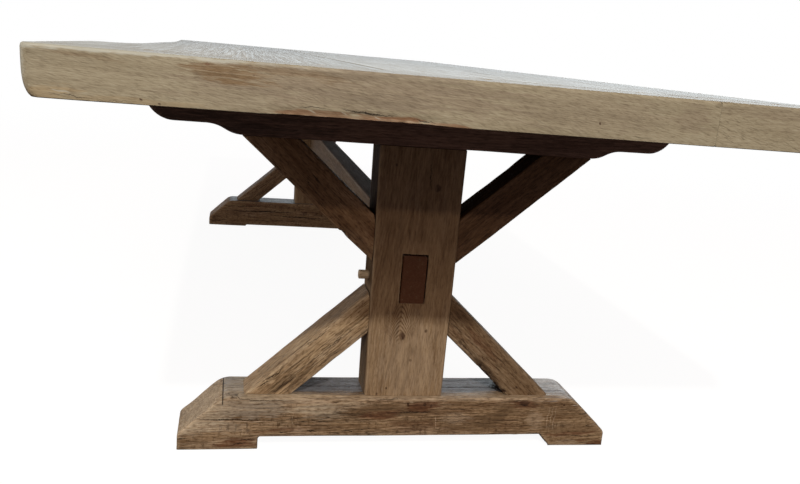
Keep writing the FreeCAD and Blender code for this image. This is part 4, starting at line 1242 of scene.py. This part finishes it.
def near_post_marks():
    """Knots with their grain, checks and kerfs on the face of the near post, and painted shade on its left
    side.
    """
    mark = on_face(POST_FACE)
    half_depth = NEAR_MIDDLE - POST_FACE
    return [
        mark("arch", -0.013, 0.2700, 0.042, 0.050, 0, 1.0),
        mark("knot", -0.0085, 0.240, 0.0075, 0.0110, 20, 0.95),
        mark("brown", -0.0095, 0.237, 0.0150, 0.0200, 20, 1.0),
        mark("brown", -0.0095, 0.237, 0.0230, 0.0300, 20, 0.85),
        mark("brown", -0.020, 0.200, 0.0095, 0.050, -17, 0.85),
        mark("brown", -0.040, 0.140, 0.0060, 0.030, -8, 0.5),
        mark("knot", 0.040, 0.252, 0.0040, 0.0048, 0, 0.8),
        mark("knot", 0.012, 0.190, 0.0030, 0.0040, 0, 0.6),
        mark("knot", -0.031, 0.126, 0.0032, 0.0042, 0, 0.85),
        mark("knot", -0.051, 0.115, 0.0026, 0.0032, 0, 0.8),
        mark("knot", 0.035, 0.544, 0.0080, 0.0090, 0, 0.8),
        mark("knot", -0.051, 0.584, 0.0030, 0.0036, 0, 0.8),
        mark("check", 0.020, 0.565, 0.034, 0.0010, 94, 0.7),
        mark("scuff", 0.010, 0.190, 0.080, 0.110, 0, 0.5),
        # painted shade on the post's left side, behind its front face
        Mark("side", (POST_LEFT, NEAR_MIDDLE + 0.008, 0.65), (0.03, half_depth, 0.30), 0, 0.85),
        mark("cut", 0.0302, 0.358, 0.0012, 0.050, 0, 0.9),
        mark("kerf", -0.0212, 0.333, 0.024, 0.0011, 90, 0.9),
    ]


class TABLE_OT_posts(bpy.types.Operator):
    """Makes the two posts"""

    bl_idname = "table.posts"
    bl_label = "Posts"

    def execute(self, context):
        oak_colours = context.scene.table_oak
        cell = context.scene.table_wear.trestle_cell
        # Each node: direction of the grain, pith, seed, marks.
        looks = {
            "post_near": ((0.01, 0.07, 1), (-0.012, NEAR_MIDDLE + 0.03, 0), 131, near_post_marks()),
            "post_far": ((-0.01, 0.02, 1), (0.02, FAR_MIDDLE + 0.05, 0), 139, []),
        }
        for node, (along, pith, seed, made) in looks.items():
            piece = worn_timber(
                node, cell if made else FAR_CELL * cell, (0, 0, 1), seed, arris=0.3, hollows=0.4, chips=0.3
            )
            material = oak(
                f"oak_{node}", along, pith, seed, oak_colours.trestle_pale, oak_colours.trestle_grain,
                marks=made, ring_share=0.18, stains=0.2, checks=0.1, edge=0.3, streaks=0.9, ragged=0.15,
                bleach=0.35, flecks=(0.4, 60, 420, 0.0), gloss=0.35,
            )
            finish(piece, node, material)
        return {"FINISHED"}


class TABLE_OT_bearers(bpy.types.Operator):
    """Makes the two bearers under the top"""

    bl_idname = "table.bearers"
    bl_label = "Bearers"

    def execute(self, context):
        oak_colours = context.scene.table_oak
        cell = BEARER_CELL * context.scene.table_wear.trestle_cell
        for node, middle, seed in (("bearer_near", NEAR_MIDDLE, 151), ("bearer_far", FAR_MIDDLE, 157)):
            shaded = [Mark("shade", (-0.45, middle, 0.66), (0.30, 0.2, 0.15), 0, 0.75)]
            piece = worn_timber(node, cell, (1, 0, 0), seed, arris=0.4, hollows=0.5, chips=0.3)
            material = oak(
                f"oak_{node}", (1, 0, 0.01), (0, middle + 0.02, 0.60), seed, oak_colours.bearer_pale,
                oak_colours.bearer_grain, marks=shaded, stains=0.3, checks=0.5, edge=0.25,
            )
            finish(piece, node, material)
        return {"FINISHED"}


def lower_left_marks():
    """Checks and dark grain on the near lower left brace."""
    mark = on_face(BRACE_FACE)
    return [
        mark("check", -0.262, 0.147, 0.024, 0.0013, 36, 0.95),
        mark("check", -0.250, 0.155, 0.016, 0.0010, 52, 0.9),
        mark("check", -0.276, 0.132, 0.014, 0.0012, 30, 0.95),
        mark("check", -0.246, 0.128, 0.020, 0.0010, 46, 0.9),
        mark("check", -0.228, 0.140, 0.022, 0.0009, 42, 0.85),
        mark("check", -0.258, 0.178, 0.018, 0.0008, 40, 0.8),
        mark("check", -0.150, 0.215, 0.050, 0.0009, 44, 0.8),
        mark("check", -0.175, 0.235, 0.040, 0.0008, 42, 0.8),
        mark("check", -0.200, 0.190, 0.030, 0.0007, 43, 0.7),
        mark("shade", -0.248, 0.130, 0.048, 0.0080, 43, 0.8),
        mark("shade", -0.205, 0.150, 0.050, 0.0050, 43, 0.6),
    ]


def lower_right_marks():
    """Checks, knots and dark grain on the near lower right brace."""
    mark = on_face(BRACE_FACE)
    return [
        mark("shade", 0.185, 0.158, 0.060, 0.0100, -45, 0.8),
        mark("check", 0.166, 0.172, 0.010, 0.0014, -70, 0.95),
        mark("check", 0.171, 0.164, 0.012, 0.0016, -35, 0.95),
        mark("check", 0.183, 0.155, 0.010, 0.0016, -62, 0.95),
        mark("check", 0.190, 0.146, 0.012, 0.0014, -30, 0.95),
        mark("check", 0.203, 0.139, 0.010, 0.0014, -60, 0.95),
        mark("check", 0.212, 0.127, 0.012, 0.0012, -44, 0.9),
        mark("check", 0.130, 0.215, 0.018, 0.0012, -44, 0.9),
        mark("check", 0.205, 0.190, 0.040, 0.0008, -45, 0.7),
        mark("knot", 0.222, 0.119, 0.005, 0.004, 0, 0.9),
        mark("knot", 0.250, 0.128, 0.003, 0.003, 0, 0.8),
        mark("stain", 0.160, 0.225, 0.070, 0.010, -43, 0.5),
    ]


class TABLE_OT_braces(bpy.types.Operator):
    """Makes the eight diagonal braces"""

    bl_idname = "table.braces"
    bl_label = "Braces"

    def execute(self, context):
        scuff = on_face(BRACE_FACE)("scuff", -0.105, 0.420, 0.060, 0.030, -45, 0.5)
        notch = [Dent((-0.1515, BRACE_FACE, 0.439), (0.020, 0.05, 0.014), 0.009)]
        split = [Dent((-0.266, BRACE_FACE, 0.141), (0.016, 0.008, 0.012), 0.003)]
        # Each row: node, share of the pale and grain colours, marks, dents, stains, checks.
        rows = [
            ("brace_lower_left_near", (1.45, 1.52, 1.55), lower_left_marks(), split, 0.15, 1.0),
            ("brace_lower_right_near", (0.80, 0.79, 0.78), lower_right_marks(), worm_eaten(), 0.6, 1.0),
            # the upper braces get painted shade on their sides
            ("brace_upper_left_near", (1.10, 1.0, 0.92), [painted_shade_on_sides(-0.25), scuff], notch, 0.6, 0.8),
            ("brace_upper_right_near", (0.62, 0.52, 0.45), [painted_shade_on_sides(0.25)], [], 0.4, 0.8),
            ("brace_lower_left_far", (1, 1, 1), [], [], 0.4, 1.0),
            ("brace_lower_right_far", (1, 1, 1), [], [], 0.5, 1.0),
            ("brace_upper_left_far", (0.9, 0.9, 0.9), [], [], 0.5, 0.8),
            ("brace_upper_right_far", (0.9, 0.9, 0.9), [], [], 0.5, 0.8),
        ]
        for number, (node, share, marks, dents, stains, checks) in enumerate(rows):
            self.make_brace(context, number, node, share, marks, dents, stains, checks)
        return {"FINISHED"}

    def make_brace(self, context, number, node, share, marks, dents, stains, checks):
        oak_colours = context.scene.table_oak
        cell = context.scene.table_wear.trestle_cell
        middle = sum(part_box(node), Vector()) / 2
        rising = ("left" in node) == ("lower" in node)
        seed = 171 + 5 * number
        along = (0.74, 0, 0.67 if rising else -0.67)
        stretch = 0.6 * np.abs(np.asarray(along))
        piece = worn_timber(
            node, cell if "near" in node else FAR_CELL * cell, stretch, seed, arris=0.5, hollows=0.7,
            chips=0.7, dents=dents,
        )
        material = oak(
            f"oak_{node}", along, middle + Vector((0.02, 0.07, 0.02)), seed,
            tinted(oak_colours.trestle_pale, share), tinted(oak_colours.trestle_grain, share), marks=marks,
            stains=stains, checks=checks, edge=0.4, ring_share=0.18, ragged=0.9, bleach=0.5, relief=1.3,
            flecks=(0.8, 85, 330, 0.0), gloss=0.35,
        )
        finish(piece, node, material)


def painted_shade_on_sides(x):
    """Painted shade on the sides of a brace, behind its front face."""
    half = NEAR_MIDDLE - BRACE_FACE
    return Mark("side", (x, NEAR_MIDDLE + 0.006, 0.5), (0.3, half, 0.3), 0, 0.9)


def worm_eaten():
    """Holes eaten along the lower edge of the right hand brace."""
    front = BRACE_FACE
    return [
        Dent((0.168, front, 0.172), (0.009, 0.014, 0.009), 0.003),
        Dent((0.186, front, 0.152), (0.010, 0.014, 0.010), 0.0035),
        Dent((0.206, front, 0.135), (0.008, 0.012, 0.008), 0.003),
        Dent((0.120, front, 0.226), (0.009, 0.012, 0.008), 0.0025),
        Dent((0.223, front, 0.118), (0.006, 0.010, 0.006), 0.003),
    ]


# The stained ends of the stretcher: the middle of a tenon, its place in from the end of the table, and
# how far the stain reaches.
TENON_X, TENON_Z = 0.0045, 0.358
TENON_INSET = 0.46
TENON_STAIN = (0.09, 0.07, 0.12)


class TABLE_OT_stretcher(bpy.types.Operator):
    """Makes the long stretcher with its through tenons"""

    bl_idname = "table.stretcher"
    bl_label = "Stretcher"

    def execute(self, context):
        oak_colours = context.scene.table_oak
        cell = STRETCHER_CELL * context.scene.table_wear.trestle_cell
        piece = worn_timber("stretcher", cell, (0, 1, 0), 223, arris=0.2, hollows=0.4, chips=0.2)
        ends = [
            Mark("tenon", (TENON_X, side * (TABLE_HIGH.y - TENON_INSET), TENON_Z), TENON_STAIN, 0, 1.0)
            for side in (-1, 1)
        ]
        # the top of the stretcher gets the patina, with its painted shade and painted cool reflection
        material = oak(
            "oak_stretcher", (0.004, 1, 0.006), (0.06, 0, 0.30), 223, oak_colours.stretcher_pale,
            oak_colours.stretcher_grain, marks=ends, stains=0.25, checks=0.2, edge=0.25, patina=0.8,
            relief=0.6, gloss=0.3,
        )
        finish(piece, "stretcher", material)
        return {"FINISHED"}


class TABLE_OT_draw_pegs(bpy.types.Operator):
    """Makes the two whittled draw pegs"""

    bl_idname = "table.draw_pegs"
    bl_label = "Draw pegs"

    def execute(self, context):
        oak_colours = context.scene.table_oak
        cell = context.scene.table_wear.peg_cell
        for node, seed in (("draw_peg_near", 231), ("draw_peg_far", 239)):
            low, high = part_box(node)
            piece = worn_timber(node, cell, (1, 0, 0), seed, arris=0.4, hollows=0.2, chips=0.1)
            # the peg's colour carries painted light
            material = oak(
                f"oak_{node}", (1, 0, 0.02), ((low + high) / 2) + Vector((0, 0.02, 0.01)), seed,
                oak_colours.peg_pale_and_painted_light, oak_colours.top_grain, ring=0.5, stains=0.1, checks=0.1,
            )
            finish(piece, node, material, body=node)
        return {"FINISHED"}


class TABLE_OT_fixings(bpy.types.Operator):
    """Plates the coach screws and washers under the bearers"""

    bl_idname = "table.fixings"
    bl_label = "Fixings"

    def execute(self, context):
        for node in ("bearer_screws", "bearer_washers"):
            finish_node(node, zinc(f"zinc_{node}"))
        return {"FINISHED"}


class TABLE_PT_pieces(bpy.types.Panel):
    """Lists the pieces of the table"""

    bl_label = "Trestle table"
    bl_idname = "TABLE_PT_pieces"
    bl_space_type = "VIEW_3D"
    bl_region_type = "UI"
    bl_category = "Trestle table"

    def draw(self, context):
        for operator in PIECES:
            self.layout.operator(operator.bl_idname)
        for group in (context.scene.table_wear, context.scene.table_oak, context.scene.table_stage):
            box = self.layout.box()
            for name in group.bl_rna.properties.keys():
                if name not in {"rna_type", "name"}:
                    box.prop(group, name)


PIECES = (
    TABLE_OT_stage,
    TABLE_OT_planks,
    TABLE_OT_end_boards,
    TABLE_OT_feet,
    TABLE_OT_posts,
    TABLE_OT_bearers,
    TABLE_OT_braces,
    TABLE_OT_stretcher,
    TABLE_OT_draw_pegs,
    TABLE_OT_fixings,
)
CLASSES = (TableWear, TableOak, TableStage, *PIECES, TABLE_PT_pieces)


def register():
    for item in CLASSES:
        bpy.utils.register_class(item)
    bpy.types.Scene.table_wear = PointerProperty(type=TableWear)
    bpy.types.Scene.table_oak = PointerProperty(type=TableOak)
    bpy.types.Scene.table_stage = PointerProperty(type=TableStage)


def unregister():
    del bpy.types.Scene.table_wear
    del bpy.types.Scene.table_oak
    del bpy.types.Scene.table_stage
    for item in reversed(CLASSES):
        bpy.utils.unregister_class(item)


def main():
    register()
    bpy.ops.table.stage()
    bpy.ops.table.planks()
    bpy.ops.table.end_boards()
    bpy.ops.table.feet()
    bpy.ops.table.posts()
    bpy.ops.table.bearers()
    bpy.ops.table.braces()
    bpy.ops.table.stretcher()
    bpy.ops.table.draw_pegs()
    bpy.ops.table.fixings()


if __name__ == "__main__":
    main()
